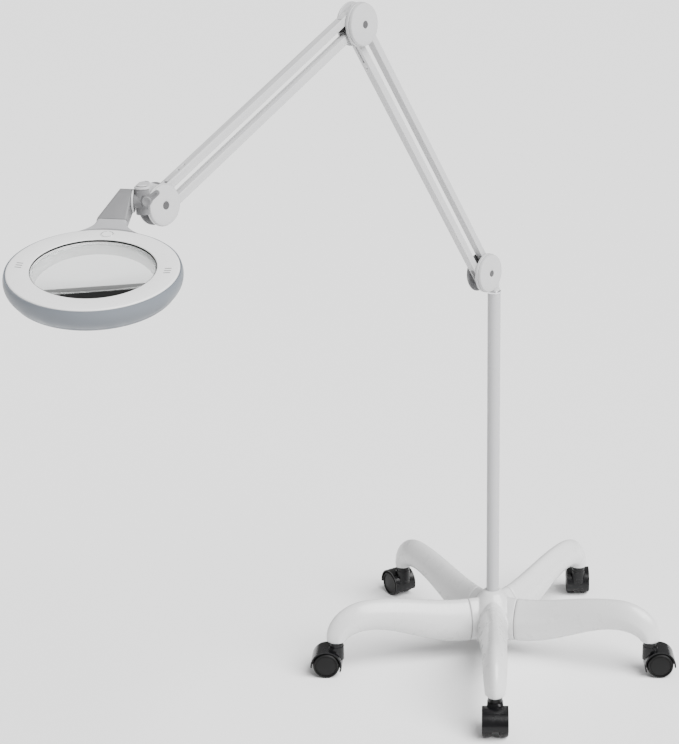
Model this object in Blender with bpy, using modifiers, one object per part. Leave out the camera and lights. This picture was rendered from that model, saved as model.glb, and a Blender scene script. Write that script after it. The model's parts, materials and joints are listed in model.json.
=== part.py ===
"""Magnifying lamp on a five-leg rolling stand, as separate parts in metres, +Z up, floor at z = 0."""

import bmesh
import bpy
from math import cos, pi, radians, sin
from mathutils import Matrix, Vector

GAP = 0.0003  # clearance between neighbouring parts
EDGE = 0.0010  # a rounded edge, drawn as one chamfer

# Legs: the radius and height of the centre line, and half width and half height of the section
LEG_COUNT = 5
LEG_ROOT_R, LEG_CREST_R, STEM_CIRCLE_R = 0.0485, 0.2420, 0.3000
LEG_ROOT_Z, LEG_CREST_Z, LEG_TIP_Z = 0.0710, 0.1080, 0.0660
LEG_ROOT_HALF = Vector((0.0270, 0.0410))
LEG_CREST_HALF = Vector((0.0222, 0.0285))
LEG_TIP_HALF = Vector((0.0172, 0.0172))
LEG_STEPS = 4  # sections along the rise, and again along the drop
LEG_SIDES = 12

# Hub, pole and the weight inside
HUB_TOP_Z, HUB_BOTTOM_Z = 0.1225, 0.0310
HUB_SEAT_R, HUB_R = 0.0150, 0.0390
HUB_SLOPE, HUB_DRAFT = 0.0180, 0.0030
HUB_CAVITY_R, HUB_CAVITY_TOP_Z = 0.0315, 0.1000
HUB_BORE_FOOT_Z = 0.0500
POLE_R, POLE_BORE_R = 0.0115, 0.0100
POLE_FOOT_Z, POLE_TOP_Z = 0.0450, 0.6930
COLLAR_RING_R, COLLAR_RING_H = 0.0120, 0.0052
SPIGOT_R, SPIGOT_DEPTH = POLE_BORE_R - GAP, 0.0600
BALLAST_R, BALLAST_FOOT_Z, BALLAST_TOP_Z = 0.0305, 0.0400, 0.0980
BALLAST_SLOPE, BALLAST_ARM_Z = radians(11), 0.0655
BALLAST_START, BALLAST_END = 0.0225, 0.1600
BALLAST_W, BALLAST_H = 0.0260, 0.0360
BALLAST_CLEARANCE = 0.0012

# Casters
WHEEL_R, WHEEL_W, WHEEL_GAP = 0.0240, 0.0160, 0.0130
WHEEL_AXLE_R = 0.0028
CASTER_TRAIL = 0.0180
HOOD_R, HOOD_WALL, HOOD_LIP_Z = 0.0285, 0.0025, 0.0185
HOOD_NECK_R, HOOD_NECK_FOOT_Z = 0.0130, 0.0300
STEM_R, STEM_FOOT_Z, STEM_TOP_Z = 0.0054, 0.0505, 0.1000
SOCKET_DEPTH = 0.0100
CASTER_TRAIL_AZIMUTHS = (-90, 0, 90, 126, 180)  # degrees, one for each leg

# Arms, in an upright plane that turns with the pole's spigot and stands a little behind its axis
ARM_AZIMUTH, ARM_SETBACK = 234, 0.0060
SHOULDER_U, SHOULDER_Z = 0.0260, 0.7354
LOWER_ANGLE, UPPER_ANGLE = 53.5, -27.1  # degrees above the horizontal
LOWER_LENGTH, UPPER_LENGTH = 0.5645, 0.4657
PIVOT_SPACING, PIVOT_ANGLE = 0.0363, -71.5
BAR_H, BAR_W, BAR_WALL = 0.0120, 0.0130, 0.0014
CHEEK_SLOT_W, ELBOW_SLOT_W, TONGUE_W = 0.0068, 0.0086, 0.0080
SHORT_SLOT, LONG_SLOT, ELBOW_END = 0.0140, 0.0370, 0.0220
CORE_R, CORE_W = 0.0070, 0.0060
PIN_R, PIN_BORE_R = 0.0025, 0.0029
SPRING_R, SPRING_WIRE, SPRING_LENGTH, SPRING_TURNS, SPRING_START = 0.0030, 0.0007, 0.1200, 10, 0.1400
SPRING_SIDES = 6
BUMPER_START, BUMPER_LENGTH, BUMPER_T, BUMPER_W = 0.0240, 0.0260, 0.0055, 0.0110

# Joint covers: a backing layer, a slightly smaller domed face, and a cap in a recess
DISC_INNER = 0.0072  # from the arm plane to a cover's inner face
SHOULDER_DISC_R, ELBOW_DISC_R, WRIST_DISC_R = 0.0340, 0.0330, 0.0290
ELBOW_DISC_SHIFT = 0.0075  # of the elbow's covers back from its pins, along the lower arm
REAR_T, THICK_FRONT_T, THIN_FRONT_T = 0.0050, 0.0110, 0.0060
DISC_LIP, DISC_DOME, BACKING_SHARE = 0.0012, 0.0010, 0.44
CAP_R, CAP_SEAT, CAP_PROUD = 0.0053, 0.0004, 0.0006

# Shoulder bracket
POST_HALF_U, POST_HALF_V, POST_OVERLAP = 0.0072, 0.0068, 0.0030
ROOT_LOW, ROOT_HIGH = -0.0240, 0.0040

# Wrist bracket and the swivel that hangs from its eye
SWIVEL_REACH, SWIVEL_OFFSET = 0.0470, 0.0200  # from the wrist's middle: outwards, and to the front
EYE_R, EYE_BOTTOM, EYE_TOP = 0.0098, 0.0303, 0.0337
WRIST_ROOT_LOW, WRIST_ROOT_START, WRIST_ROOT_END = 0.0160, 0.0200, 0.0270
WRIST_ARM_W = 0.0120
SPIGOT_PIN_R, AXLE_R = 0.0046, 0.0040
TILT_RISE = 0.0139  # of the tilt axis above the wrist's middle
BLOCK_R, BLOCK_FOOT, BARREL_R, BARREL_END = 0.0092, -0.0030, 0.0105, 0.0085
COLLAR_R, COLLAR_LOW, COLLAR_HIGH = 0.0156, -0.0128, -0.0103
YOKE_R, YOKE_LOW, YOKE_HIGH = 0.0155, -0.0290, -0.0132
BOSS_R, BOSS_START, BOSS_END = 0.0054, -0.0215, -0.0110
SWIVEL_CAP_R, SWIVEL_CAP_H = 0.0070, 0.0014
KNOB_X, KNOB_Z, KNOB_R, KNOB_H = 0.0115, 0.0062, 0.0064, 0.0125
SCREW_R, SCREW_REACH, SCREW_BORE_R = 0.0024, 0.0120, 0.0028
LEVER_REACH, LEVER_TIP_R, LEVER_ROOT, LEVER_T, LEVER_TURN = 0.0165, 0.0038, 0.0046, 0.0050, 38

# Head, in its own frame: x along the tilt axis, y towards the neck, z out of the top face
HEAD_CENTRE = Vector((-0.506, -0.834, 0.940))
HEAD_TILT, HEAD_ROLL = 14.3, 2.4
HEAD_R, BEZEL_R, HEAD_T = 0.1090, 0.1052, 0.0320
SKIRT_WAIST_Z = -0.0095
LIGHT_OUTER_R, HEAD_FLOOR_R = 0.0940, 0.0985
HEAD_WALL, BEZEL_T = 0.0030, 0.0025
LENS_R, LENS_EDGE_Z, LENS_EDGE_T, LENS_BULGE = 0.0762, -0.0048, 0.0032, 0.0036
LENS_STEPS = 4
RING_WALL, RING_LEDGE = 0.0026, 0.0020
LIGHT_T, BOARD_Z, BOARD_T = 0.0022, -0.0200, 0.0016
BUTTON_CENTRE, BUTTON_R, BUTTON_DEPTH, BUTTON_PROUD = (0.0, 0.0912), 0.0085, 0.0060, 0.0004
NECK_TOP_Y, NECK_ROOT_Y, NECK_INNER_Y = 0.1250, 0.1060, 0.0920
NECK_HALF, NECK_ROOT_HALF = 0.0198, 0.0360

HEAD_SIDES = 48  # sides of the head's rings
ROUND = 24  # sides of a large round part
SMALL = 12  # sides of a small one
ARC_STEPS = 6

WHITE = ((0.90, 0.90, 0.89), 0.25, 0.0)
ARM_WHITE = ((0.82, 0.82, 0.82), 0.35, 0.0)
POLE_GREY = ((0.72, 0.72, 0.73), 0.30, 0.0)
MID_GREY = ((0.42, 0.42, 0.43), 0.45, 0.0)
SKIRT_GREY = ((0.40, 0.43, 0.46), 0.40, 0.0)
BLACK = ((0.015, 0.015, 0.016), 0.30, 0.0)
CHROME = ((0.80, 0.80, 0.82), 0.08, 1.0)
STEEL = ((0.55, 0.55, 0.56), 0.35, 1.0)
IRON = ((0.10, 0.10, 0.10), 0.70, 1.0)
GLASS = ((0.88, 0.93, 0.95), 0.02, 0.0)
DIFFUSER = ((0.95, 0.95, 0.93), 0.50, 0.0)
BOARD = ((0.75, 0.78, 0.75), 0.60, 0.0)

PARTS = "magnifying_lamp"
CUTTERS = "cutters"
FAR = 0.0500  # reach of a cutter that passes right through


# ---------------------------------------------------------------- making parts


def clear_scene():
    for obj in list(bpy.data.objects):
        bpy.data.objects.remove(obj, do_unlink=True)


def collection(name):
    found = bpy.data.collections.get(name)
    if found is None:
        found = bpy.data.collections.new(name)
        bpy.context.scene.collection.children.link(found)
    return found


def material(name, look):
    found = bpy.data.materials.get(name)
    if found is None:
        colour, roughness, metallic = look
        found = bpy.data.materials.new(name)
        found.use_nodes = True
        shader = found.node_tree.nodes["Principled BSDF"]
        shader.inputs["Base Color"].default_value = (*colour, 1.0)
        shader.inputs["Roughness"].default_value = roughness
        shader.inputs["Metallic"].default_value = metallic
        if look is GLASS:
            shader.inputs["Transmission Weight"].default_value = 1.0
            shader.inputs["IOR"].default_value = 1.5
    return found


def add_part(name, mesh, look, matrix):
    """A node of the lamp, with its own material and its origin where matrix puts it."""
    obj = add_copy(name, mesh, matrix)
    mesh.materials.append(material(name, look))
    mesh.shade_smooth()
    mesh.set_sharp_from_angle(angle=radians(35))
    return obj


def add_copy(name, mesh, matrix):
    """A node that shares a finished mesh."""
    obj = bpy.data.objects.new(name, mesh)
    collection(PARTS).objects.link(obj)
    obj.matrix_world = matrix
    return obj


def add_cutter(name, mesh, matrix):
    """A hidden helper that a part is cut by or joined with."""
    obj = bpy.data.objects.new(name, mesh)
    collection(CUTTERS).objects.link(obj)
    obj.matrix_world = matrix
    obj.hide_render = True
    obj.display_type = "WIRE"
    return obj


def boolean(obj, other, operation):
    modifier = obj.modifiers.new(other.name, "BOOLEAN")
    modifier.operation = operation
    modifier.solver = "EXACT"
    modifier.object = other


def cut(obj, *cutters):
    for cutter in cutters:
        boolean(obj, cutter, "DIFFERENCE")


def join(obj, *others):
    for other in others:
        boolean(obj, other, "UNION")


def baked(obj):
    """The object's evaluated mesh, in its own frame, with the object removed."""
    bpy.context.view_layer.update()
    graph = bpy.context.evaluated_depsgraph_get()
    mesh = bpy.data.meshes.new_from_object(obj.evaluated_get(graph))
    bpy.data.objects.remove(obj, do_unlink=True)
    return mesh


def baked_pattern(obj, helpers, material_name, look):
    """A finished mesh for copies to share, with one material; its helpers are removed."""
    mesh = baked(obj)
    for helper in helpers:
        bpy.data.objects.remove(helper, do_unlink=True)
    mesh.materials.clear()
    mesh.materials.append(material(material_name, look))
    return mesh


# ---------------------------------------------------------------- making meshes


def finished(bm, name):
    bmesh.ops.recalc_face_normals(bm, faces=bm.faces)
    mesh = bpy.data.meshes.new(name)
    bm.to_mesh(mesh)
    bm.free()
    return mesh


def box_mesh(low, high):
    """A box between two corners."""
    size = Vector(high) - Vector(low)
    centre = (Vector(high) + Vector(low)) / 2
    bm = bmesh.new()
    matrix = Matrix.Translation(centre) @ Matrix.Diagonal((*size, 1.0))
    bmesh.ops.create_cube(bm, size=1.0, matrix=matrix)
    return finished(bm, "box")


def rod_mesh(radius, low, high, axis="Z", sides=SMALL, centre=(0, 0)):
    """A cylinder from low to high along an axis; centre is its place across that axis."""
    turns = {"X": Matrix.Rotation(radians(90), 4, "Y"), "Y": Matrix.Rotation(radians(-90), 4, "X")}
    a, b = centre
    place = {"X": (0, a, b), "Y": (a, 0, b), "Z": (a, b, 0)}[axis]
    middle = Matrix.Translation((0, 0, (low + high) / 2))
    bm = bmesh.new()
    bmesh.ops.create_cone(
        bm,
        cap_ends=True,
        segments=sides,
        radius1=radius,
        radius2=radius,
        depth=high - low,
        matrix=Matrix.Translation(place) @ turns.get(axis, Matrix()) @ middle,
    )
    return finished(bm, "rod")


def hull_mesh(meshes):
    """The convex hull round the given meshes."""
    bm = bmesh.new()
    for mesh in meshes:
        bm.from_mesh(mesh)
    bmesh.ops.delete(bm, geom=bm.faces, context="FACES_ONLY")
    bmesh.ops.delete(bm, geom=bm.edges, context="EDGES_FACES")
    bmesh.ops.convex_hull(bm, input=bm.verts)
    loose = [v for v in bm.verts if not v.link_faces]
    bmesh.ops.delete(bm, geom=loose, context="VERTS")
    return finished(bm, "hull")


def loft_mesh(rings, name):
    """A closed skin through rings of points, capped at both ends."""
    bm = bmesh.new()
    made = [[bm.verts.new(point) for point in ring] for ring in rings]
    for ring, following in zip(made, made[1:]):
        for j in range(len(ring)):
            k = (j + 1) % len(ring)
            bm.faces.new((ring[j], ring[k], following[k], following[j]))
    bm.faces.new(made[0])
    bm.faces.new(list(reversed(made[-1])))
    return finished(bm, name)


def turned(name, profile, look, matrix, sides=ROUND):
    """A turned part about z. The profile of (r, z) points runs down the outer side, and closes itself."""
    mesh = bpy.data.meshes.new(name)
    on_axis = profile[0][0] == 0 and profile[-1][0] == 0
    count = len(profile)
    edges = [(i, (i + 1) % count) for i in range(count - 1 if on_axis else count)]
    mesh.from_pydata([(r, 0, z) for r, z in profile], edges, [])
    obj = add_part(name, mesh, look, matrix)
    screw = obj.modifiers.new("turn", "SCREW")
    screw.steps = sides
    screw.render_steps = sides
    screw.use_merge_vertices = True
    screw.merge_threshold = 0.00001
    screw.use_smooth_shade = True
    return obj


def tube_profile(outer, inner, low, high):
    """The profile of a plain ring between two radii and two heights."""
    return ((outer, high), (outer, low), (inner, low), (inner, high))


def arc(centre, radius, start, end, steps=ARC_STEPS):
    """Points round an arc, from the start angle to the end angle in degrees."""
    angles = [radians(start + (end - start) * i / steps) for i in range(steps + 1)]
    return [(centre[0] + radius * cos(a), centre[1] + radius * sin(a)) for a in angles]


def curve_mesh(curve, points):
    """The mesh of a bevelled or extruded curve through the given points."""
    spline = curve.splines.new("POLY")
    spline.points.add(len(points) - 1)
    for point, place in zip(spline.points, points):
        point.co = (*place, 1)
    spline.use_cyclic_u = curve.dimensions == "2D"
    holder = bpy.data.objects.new(curve.name, curve)
    bpy.context.scene.collection.objects.link(holder)
    bm = bmesh.new()
    bm.from_mesh(baked(holder))
    bmesh.ops.remove_doubles(bm, verts=bm.verts, dist=0.000001)
    return finished(bm, curve.name)


def outline_mesh(points, thickness):
    """A flat outline in the xy plane, given a thickness about z = 0."""
    curve = bpy.data.curves.new("outline", "CURVE")
    curve.dimensions = "2D"
    curve.fill_mode = "BOTH"
    curve.extrude = thickness / 2
    return curve_mesh(curve, [(x, y, 0) for x, y in points])


def coil_mesh():
    """A balance spring along x, a plain helix of round wire."""
    curve = bpy.data.curves.new("coil", "CURVE")
    curve.dimensions = "3D"
    curve.bevel_depth = SPRING_WIRE
    curve.bevel_resolution = 0
    curve.use_fill_caps = True
    count = SPRING_TURNS * SPRING_SIDES
    points = []
    for i in range(count + 1):
        angle = 2 * pi * i / SPRING_SIDES
        along = SPRING_START + SPRING_LENGTH * i / count
        points.append((along, SPRING_R * cos(angle), SPRING_R * sin(angle)))
    return curve_mesh(curve, points)


# ---------------------------------------------------------------- stand


def leg_frame(index):
    return Matrix.Rotation(radians(-90 + 360 / LEG_COUNT * index), 4, "Z")


def leg_section(centre, direction, half):
    """An elliptical ring of points across a leg, square to direction."""
    up = Vector((-direction.z, 0, direction.x))
    across = Vector((0, 1, 0))
    angles = [2 * pi * i / LEG_SIDES for i in range(LEG_SIDES)]
    return [centre + across * half.x * cos(a) + up * half.y * sin(a) for a in angles]


def eased(t):
    return t * t * (3 - 2 * t)


def leg_mesh():
    """A leg as a loft: an eased rise from the hub's seam, then a quarter turn down to the caster."""
    rings = []
    for i in range(LEG_STEPS + 1):
        t = i / LEG_STEPS
        rise = eased(t)
        radius = LEG_ROOT_R + (LEG_CREST_R - LEG_ROOT_R) * t
        centre = Vector((radius, 0, LEG_ROOT_Z + (LEG_CREST_Z - LEG_ROOT_Z) * rise))
        slope = 6 * t * (1 - t) * (LEG_CREST_Z - LEG_ROOT_Z) / (LEG_CREST_R - LEG_ROOT_R)
        half = LEG_ROOT_HALF.lerp(LEG_CREST_HALF, rise)
        rings.append(leg_section(centre, Vector((1, 0, slope)).normalized(), half))
    for i in range(1, LEG_STEPS + 1):
        turn = pi / 2 * i / LEG_STEPS
        reach, drop = STEM_CIRCLE_R - LEG_CREST_R, LEG_CREST_Z - LEG_TIP_Z
        centre = Vector((LEG_CREST_R + reach * sin(turn), 0, LEG_TIP_Z + drop * cos(turn)))
        direction = Vector((reach * cos(turn), 0, -drop * sin(turn))).normalized()
        half = LEG_TIP_HALF.lerp(LEG_CREST_HALF, cos(turn))
        rings.append(leg_section(centre, direction, half))
    return loft_mesh(rings, "leg")


def ballast_arm_mesh(start, extra):
    """A bar along x that fits inside a leg; extra is added on every side but the inner end."""
    half_w, half_h = BALLAST_W / 2 + extra, BALLAST_H / 2 + extra
    return box_mesh((start, -half_w, -half_h), (BALLAST_END + extra, half_w, half_h))


def ballast_arm_frame(turn=Matrix()):
    return turn @ Matrix.Translation((0, 0, BALLAST_ARM_Z)) @ Matrix.Rotation(-BALLAST_SLOPE, 4, "Y")


def channel_mesh():
    return ballast_arm_mesh(BALLAST_START - 2 * BALLAST_CLEARANCE, BALLAST_CLEARANCE)


def make_legs():
    socket = rod_mesh(STEM_R + GAP, LEG_TIP_Z - SOCKET_DEPTH, STEM_TOP_Z + EDGE)
    bore = add_cutter("stem_bore", socket, Matrix.Translation((STEM_CIRCLE_R, 0, 0)))
    channel = add_cutter("leg_channel", channel_mesh(), ballast_arm_frame())
    pattern = add_part("leg_pattern", leg_mesh(), WHITE, Matrix())
    cut(pattern, bore, channel)
    mesh = baked_pattern(pattern, (bore, channel), "leg", WHITE)
    for i in range(LEG_COUNT):
        add_copy(f"leg_{i + 1}", mesh, leg_frame(i))


def stub_mesh():
    """A hub arm: the leg's root section, drawn in towards the pole."""
    outwards = Vector((1, 0, 0))
    inner_half = Vector((LEG_ROOT_HALF.x * 0.9, LEG_ROOT_HALF.y - EDGE / 2))
    inner = leg_section(Vector((HUB_R / 10, 0, LEG_ROOT_Z)), outwards, inner_half)
    outer = leg_section(Vector((LEG_ROOT_R - GAP, 0, LEG_ROOT_Z)), outwards, LEG_ROOT_HALF)
    return loft_mesh([inner, outer], "stub")


def make_hub():
    """The hub: five stubs that meet the legs, round a centre that holds the pole."""
    profile = (
        (0, HUB_TOP_Z),
        (HUB_SEAT_R, HUB_TOP_Z),
        ((HUB_SEAT_R + HUB_R) / 2, HUB_TOP_Z - HUB_SLOPE / 3),
        (HUB_R - HUB_DRAFT, HUB_TOP_Z - HUB_SLOPE),
        (HUB_R, HUB_BOTTOM_Z + 2 * HUB_DRAFT),
        (HUB_R - HUB_DRAFT, HUB_BOTTOM_Z),
        (0, HUB_BOTTOM_Z),
    )
    hub = turned("base_hub", profile, WHITE, Matrix())
    for i in range(LEG_COUNT):
        join(hub, add_cutter(f"hub_stub_{i + 1}", stub_mesh(), leg_frame(i)))
    cavity = rod_mesh(HUB_CAVITY_R, 0.0, HUB_CAVITY_TOP_Z, sides=ROUND)
    cut(hub, add_cutter("hub_cavity", cavity, Matrix()))
    bore = rod_mesh(POLE_R + GAP, HUB_BORE_FOOT_Z, HUB_TOP_Z + FAR, sides=ROUND)
    cut(hub, add_cutter("hub_bore", bore, Matrix()))
    for i in range(LEG_COUNT):
        cut(hub, add_cutter(f"hub_channel_{i + 1}", channel_mesh(), ballast_arm_frame(leg_frame(i))))


def make_ballast():
    """The cast-iron weight: a boss round the pole with an arm into each leg."""
    profile = tube_profile(BALLAST_R, POLE_R + GAP, BALLAST_FOOT_Z, BALLAST_TOP_Z)
    boss = turned("ballast", profile, IRON, Matrix())
    for i in range(LEG_COUNT):
        arm = ballast_arm_mesh(BALLAST_START, 0.0)
        join(boss, add_cutter(f"ballast_arm_{i + 1}", arm, ballast_arm_frame(leg_frame(i))))


def make_pole():
    tube = tube_profile(POLE_R, POLE_BORE_R, POLE_FOOT_Z, POLE_TOP_Z)
    turned("pole_tube", tube, POLE_GREY, Matrix())
    low, high = POLE_TOP_Z + GAP, POLE_TOP_Z + GAP + COLLAR_RING_H
    collar = (
        (COLLAR_RING_R - EDGE, high),
        (COLLAR_RING_R, high - EDGE),
        (COLLAR_RING_R, low),
        (POLE_BORE_R, low),
        (POLE_BORE_R, high),
    )
    turned("pole_collar", collar, CHROME, Matrix())


# ---------------------------------------------------------------- casters


def caster_frame(index):
    place = leg_frame(index) @ Vector((STEM_CIRCLE_R, 0, 0))
    trail = Matrix.Rotation(radians(CASTER_TRAIL_AZIMUTHS[index]), 4, "Z")
    return Matrix.Translation(place) @ trail


def hood_mesh():
    """A twin-wheel caster's hood: an arch over both wheels, a web between them and a neck for the stem."""
    half = WHEEL_GAP / 2 + WHEEL_W
    web = WHEEL_GAP / 2 - HOOD_WALL / 3
    axle = (CASTER_TRAIL, WHEEL_R)
    hood = add_part("hood_pattern", rod_mesh(HOOD_R, -half, half, "Y", ROUND, axle), BLACK, Matrix())
    neck = add_cutter("hood_neck", rod_mesh(HOOD_NECK_R, HOOD_NECK_FOOT_Z, LEG_TIP_Z - 2 * GAP), Matrix())
    join(hood, neck)
    cutters = []
    for side in (-1, 1):
        low, high = sorted((side * web, side * (half + FAR)))
        pocket = rod_mesh(HOOD_R - HOOD_WALL, low, high, "Y", ROUND, axle)
        cutters.append(add_cutter(f"hood_pocket_{side}", pocket, Matrix()))
    under = box_mesh((-FAR, -FAR, -FAR), (2 * FAR, FAR, HOOD_LIP_Z))
    cutters.append(add_cutter("hood_under", under, Matrix()))
    axle_bore = rod_mesh(WHEEL_AXLE_R + GAP, -FAR, FAR, "Y", SMALL, axle)
    cutters.append(add_cutter("hood_axle_bore", axle_bore, Matrix()))
    stem_bore = rod_mesh(STEM_R + GAP, STEM_FOOT_Z - GAP, LEG_TIP_Z + FAR)
    cutters.append(add_cutter("hood_stem_bore", stem_bore, Matrix()))
    cut(hood, *cutters)
    return baked_pattern(hood, [neck, *cutters], "caster_hood", BLACK)


def wheel_mesh():
    """A wheel about z: a rounded tread and, on its inner side, half of the axle."""
    half = WHEEL_W / 2
    axle_end = -half - WHEEL_GAP / 2 + GAP
    profile = (
        (0, half),
        (WHEEL_R - 2 * EDGE, half),
        (WHEEL_R, half - 3 * EDGE),
        (WHEEL_R, -half + 2 * EDGE),
        (WHEEL_R - EDGE, -half),
        (WHEEL_AXLE_R, -half),
        (WHEEL_AXLE_R, axle_end),
        (0, axle_end),
    )
    wheel = turned("wheel_pattern", profile, BLACK, Matrix(), ROUND - 4)
    return baked_pattern(wheel, (), "caster_wheel", BLACK)


def make_casters():
    hood = hood_mesh()
    wheel = wheel_mesh()
    stem = rod_mesh(STEM_R, STEM_FOOT_Z, STEM_TOP_Z)
    stem.materials.append(material("caster_stem", STEEL))
    wheel_y = (WHEEL_GAP + WHEEL_W) / 2
    for i in range(LEG_COUNT):
        frame = caster_frame(i)
        add_copy(f"caster_{i + 1}_stem", stem, frame)
        add_copy(f"caster_{i + 1}_hood", hood, frame)
        for side, sign in (("a", -1), ("b", 1)):
            place = Matrix.Translation((CASTER_TRAIL, sign * wheel_y, WHEEL_R))
            outer_face = Matrix.Rotation(radians(-90 * sign), 4, "X")
            add_copy(f"caster_{i + 1}_wheel_{side}", wheel, frame @ place @ outer_face)


# ---------------------------------------------------------------- arms


def in_plane(angle, length):
    return Vector((length * cos(radians(angle)), length * sin(radians(angle))))


SHOULDER = Vector((SHOULDER_U, SHOULDER_Z))
ELBOW = SHOULDER + in_plane(LOWER_ANGLE, LOWER_LENGTH)
WRIST = ELBOW + in_plane(UPPER_ANGLE, UPPER_LENGTH)
PIVOT_OFFSET = in_plane(PIVOT_ANGLE, PIVOT_SPACING / 2)


def arm_turn():
    """x outwards along the arms, y to the front of their plane, z up, on the pole's axis."""
    return Matrix.Rotation(radians(ARM_AZIMUTH), 4, "Z")


def plane_frame(point, angle=0.0):
    """A frame in the arm plane: x along angle, y square to it and upwards, z away from the front covers."""
    place = Matrix.Translation((point.x, -ARM_SETBACK, point.y))
    upright = Matrix.Rotation(radians(90), 4, "X")
    return arm_turn() @ place @ upright @ Matrix.Rotation(radians(angle), 4, "Z")


def hollow_bar(bar, name, frame, length, near, far):
    """Opens the bar: the hollow inside, each end's slot or tongue, and the pivot bores."""
    wall_y, wall_z = BAR_H / 2 - BAR_WALL, BAR_W / 2 - BAR_WALL
    low, high = near["length"] - EDGE, length - far["length"] + EDGE
    hollow = box_mesh((low, -wall_y, -wall_z), (high, wall_y, wall_z))
    cut(bar, add_cutter(f"{name}_hollow", hollow, frame))
    for label, end, at, inward in (("near", near, 0.0, 1), ("far", far, length, -1)):
        low, high = sorted((at - inward * BAR_H, at + inward * end["length"]))
        half = end["width"] / 2
        if end["kind"] == "fork":
            spans = ((-half, half),)
        else:
            spans = ((-BAR_W, -half), (half, BAR_W))
        for k, (back, front) in enumerate(spans):
            block = box_mesh((low, -BAR_H, back), (high, BAR_H, front))
            cut(bar, add_cutter(f"{name}_{label}_cut_{k}", block, frame))
        bore = rod_mesh(PIN_BORE_R, -BAR_W, BAR_W, "Z", SMALL, (at, 0))
        cut(bar, add_cutter(f"{name}_{label}_bore", bore, frame))


FORKS = [{"kind": "fork", "width": CHEEK_SLOT_W, "length": length} for length in (SHORT_SLOT, LONG_SLOT)]
ELBOW_FORKS = [{"kind": "fork", "width": ELBOW_SLOT_W, "length": ELBOW_END}] * 2
TONGUES = [{"kind": "tongue", "width": TONGUE_W, "length": ELBOW_END}] * 2


def make_arm(name, start, angle, length, nears, fars):
    """Two parallel box-section bars, with a balance spring inside the first."""
    half = BAR_H / 2
    outline = arc((length, 0), half, -90, 90) + arc((0, 0), half, 90, 270)
    for number, sign in ((1, -1), (2, 1)):
        frame = plane_frame(start + PIVOT_OFFSET * sign, angle)
        bar_name = f"{name}_bar_{number}"
        bar = add_part(bar_name, outline_mesh(outline, BAR_W), ARM_WHITE, frame)
        hollow_bar(bar, bar_name, frame, length, nears[number - 1], fars[number - 1])
    add_part(f"{name}_spring", coil_mesh(), STEEL, plane_frame(start - PIVOT_OFFSET, angle))


def make_bumper():
    """The rubber block under the first upper bar, which stops the two bars from meeting."""
    top = -BAR_H / 2 - GAP
    low = (BUMPER_START, top - BUMPER_T, -BUMPER_W / 2)
    high = (BUMPER_START + BUMPER_LENGTH, top, BUMPER_W / 2)
    add_part("elbow_bumper", box_mesh(low, high), BLACK, plane_frame(ELBOW - PIVOT_OFFSET, UPPER_ANGLE))


def disc_profile(radius, thickness, side):
    """A cover about z, on the front (-1) or rear (1) side of the arm plane."""
    seat = thickness - CAP_SEAT
    backing = thickness * BACKING_SHARE
    points = (
        (0, seat),
        (CAP_R + GAP, seat),
        (CAP_R + GAP, thickness + DISC_DOME),
        (radius - 2.5 * DISC_LIP, thickness),
        (radius - DISC_LIP, thickness - DISC_LIP),
        (radius - DISC_LIP, backing + GAP),
        (radius, backing),
        (radius, 0.0),
        (0, 0.0),
    )
    if side > 0:
        return [(r, DISC_INNER + z) for r, z in points]
    return [(r, -DISC_INNER - z) for r, z in reversed(points)]


def make_discs(name, point, radius, front_t, rear_look):
    """The front and rear covers of a joint, with a small cap at the front's middle."""
    frame = plane_frame(point)
    turned(f"{name}_disc_front", disc_profile(radius, front_t, -1), ARM_WHITE, frame)
    rear = turned(f"{name}_disc_rear", disc_profile(radius, REAR_T, 1), rear_look, frame)
    high = -DISC_INNER - front_t + CAP_SEAT - GAP
    low = -DISC_INNER - front_t - DISC_DOME - CAP_PROUD
    cap = ((0, high), (CAP_R, high), (CAP_R, low + EDGE / 2), (CAP_R - EDGE / 2, low), (0, low))
    turned(f"{name}_cap", cap, MID_GREY, frame, SMALL)
    return rear


def pin_meshes(low, high):
    return [rod_mesh(PIN_R, low, high, "Z", SMALL, tuple(PIVOT_OFFSET * s)) for s in (-1, 1)]


def core_mesh(root):
    """A bracket's core plate: the hull round both pivot pins and the box the bracket grows from."""
    half = CORE_W / 2
    bosses = [rod_mesh(CORE_R, -half, half, "Z", SMALL, tuple(PIVOT_OFFSET * s)) for s in (-1, 1)]
    return hull_mesh([*bosses, root])


def add_bracket(name, root, frame):
    """A bracket's core plate with its two pivot pins."""
    bracket = add_part(name, core_mesh(root), ARM_WHITE, frame)
    for i, mesh in enumerate(pin_meshes(-DISC_INNER + GAP, DISC_INNER - GAP)):
        join(bracket, add_cutter(f"{name}_pin_{i}", mesh, frame))
    return bracket


def make_shoulder():
    """The bracket that turns in the pole: a core plate with two pivot pins, a post and a spigot."""
    start, end = -SHOULDER_U - POST_HALF_U, -SHOULDER_U + POST_HALF_U
    root = box_mesh((start, ROOT_LOW, -CORE_W / 2), (end, ROOT_HIGH, CORE_W / 2))
    bracket = add_bracket("shoulder_bracket", root, plane_frame(SHOULDER))
    low = POLE_TOP_Z + 2 * GAP + COLLAR_RING_H
    back, front = -ARM_SETBACK - POST_HALF_V, -ARM_SETBACK + POST_HALF_V
    post = box_mesh((-POST_HALF_U, back, low), (POST_HALF_U, front, SHOULDER_Z + POST_OVERLAP))
    join(bracket, add_cutter("shoulder_post", post, arm_turn()))
    spigot = rod_mesh(SPIGOT_R, POLE_TOP_Z - SPIGOT_DEPTH, low + POST_OVERLAP, "Z", ROUND)
    join(bracket, add_cutter("shoulder_spigot", spigot, Matrix()))
    make_discs("shoulder", SHOULDER, SHOULDER_DISC_R, THICK_FRONT_T, MID_GREY)


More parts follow.
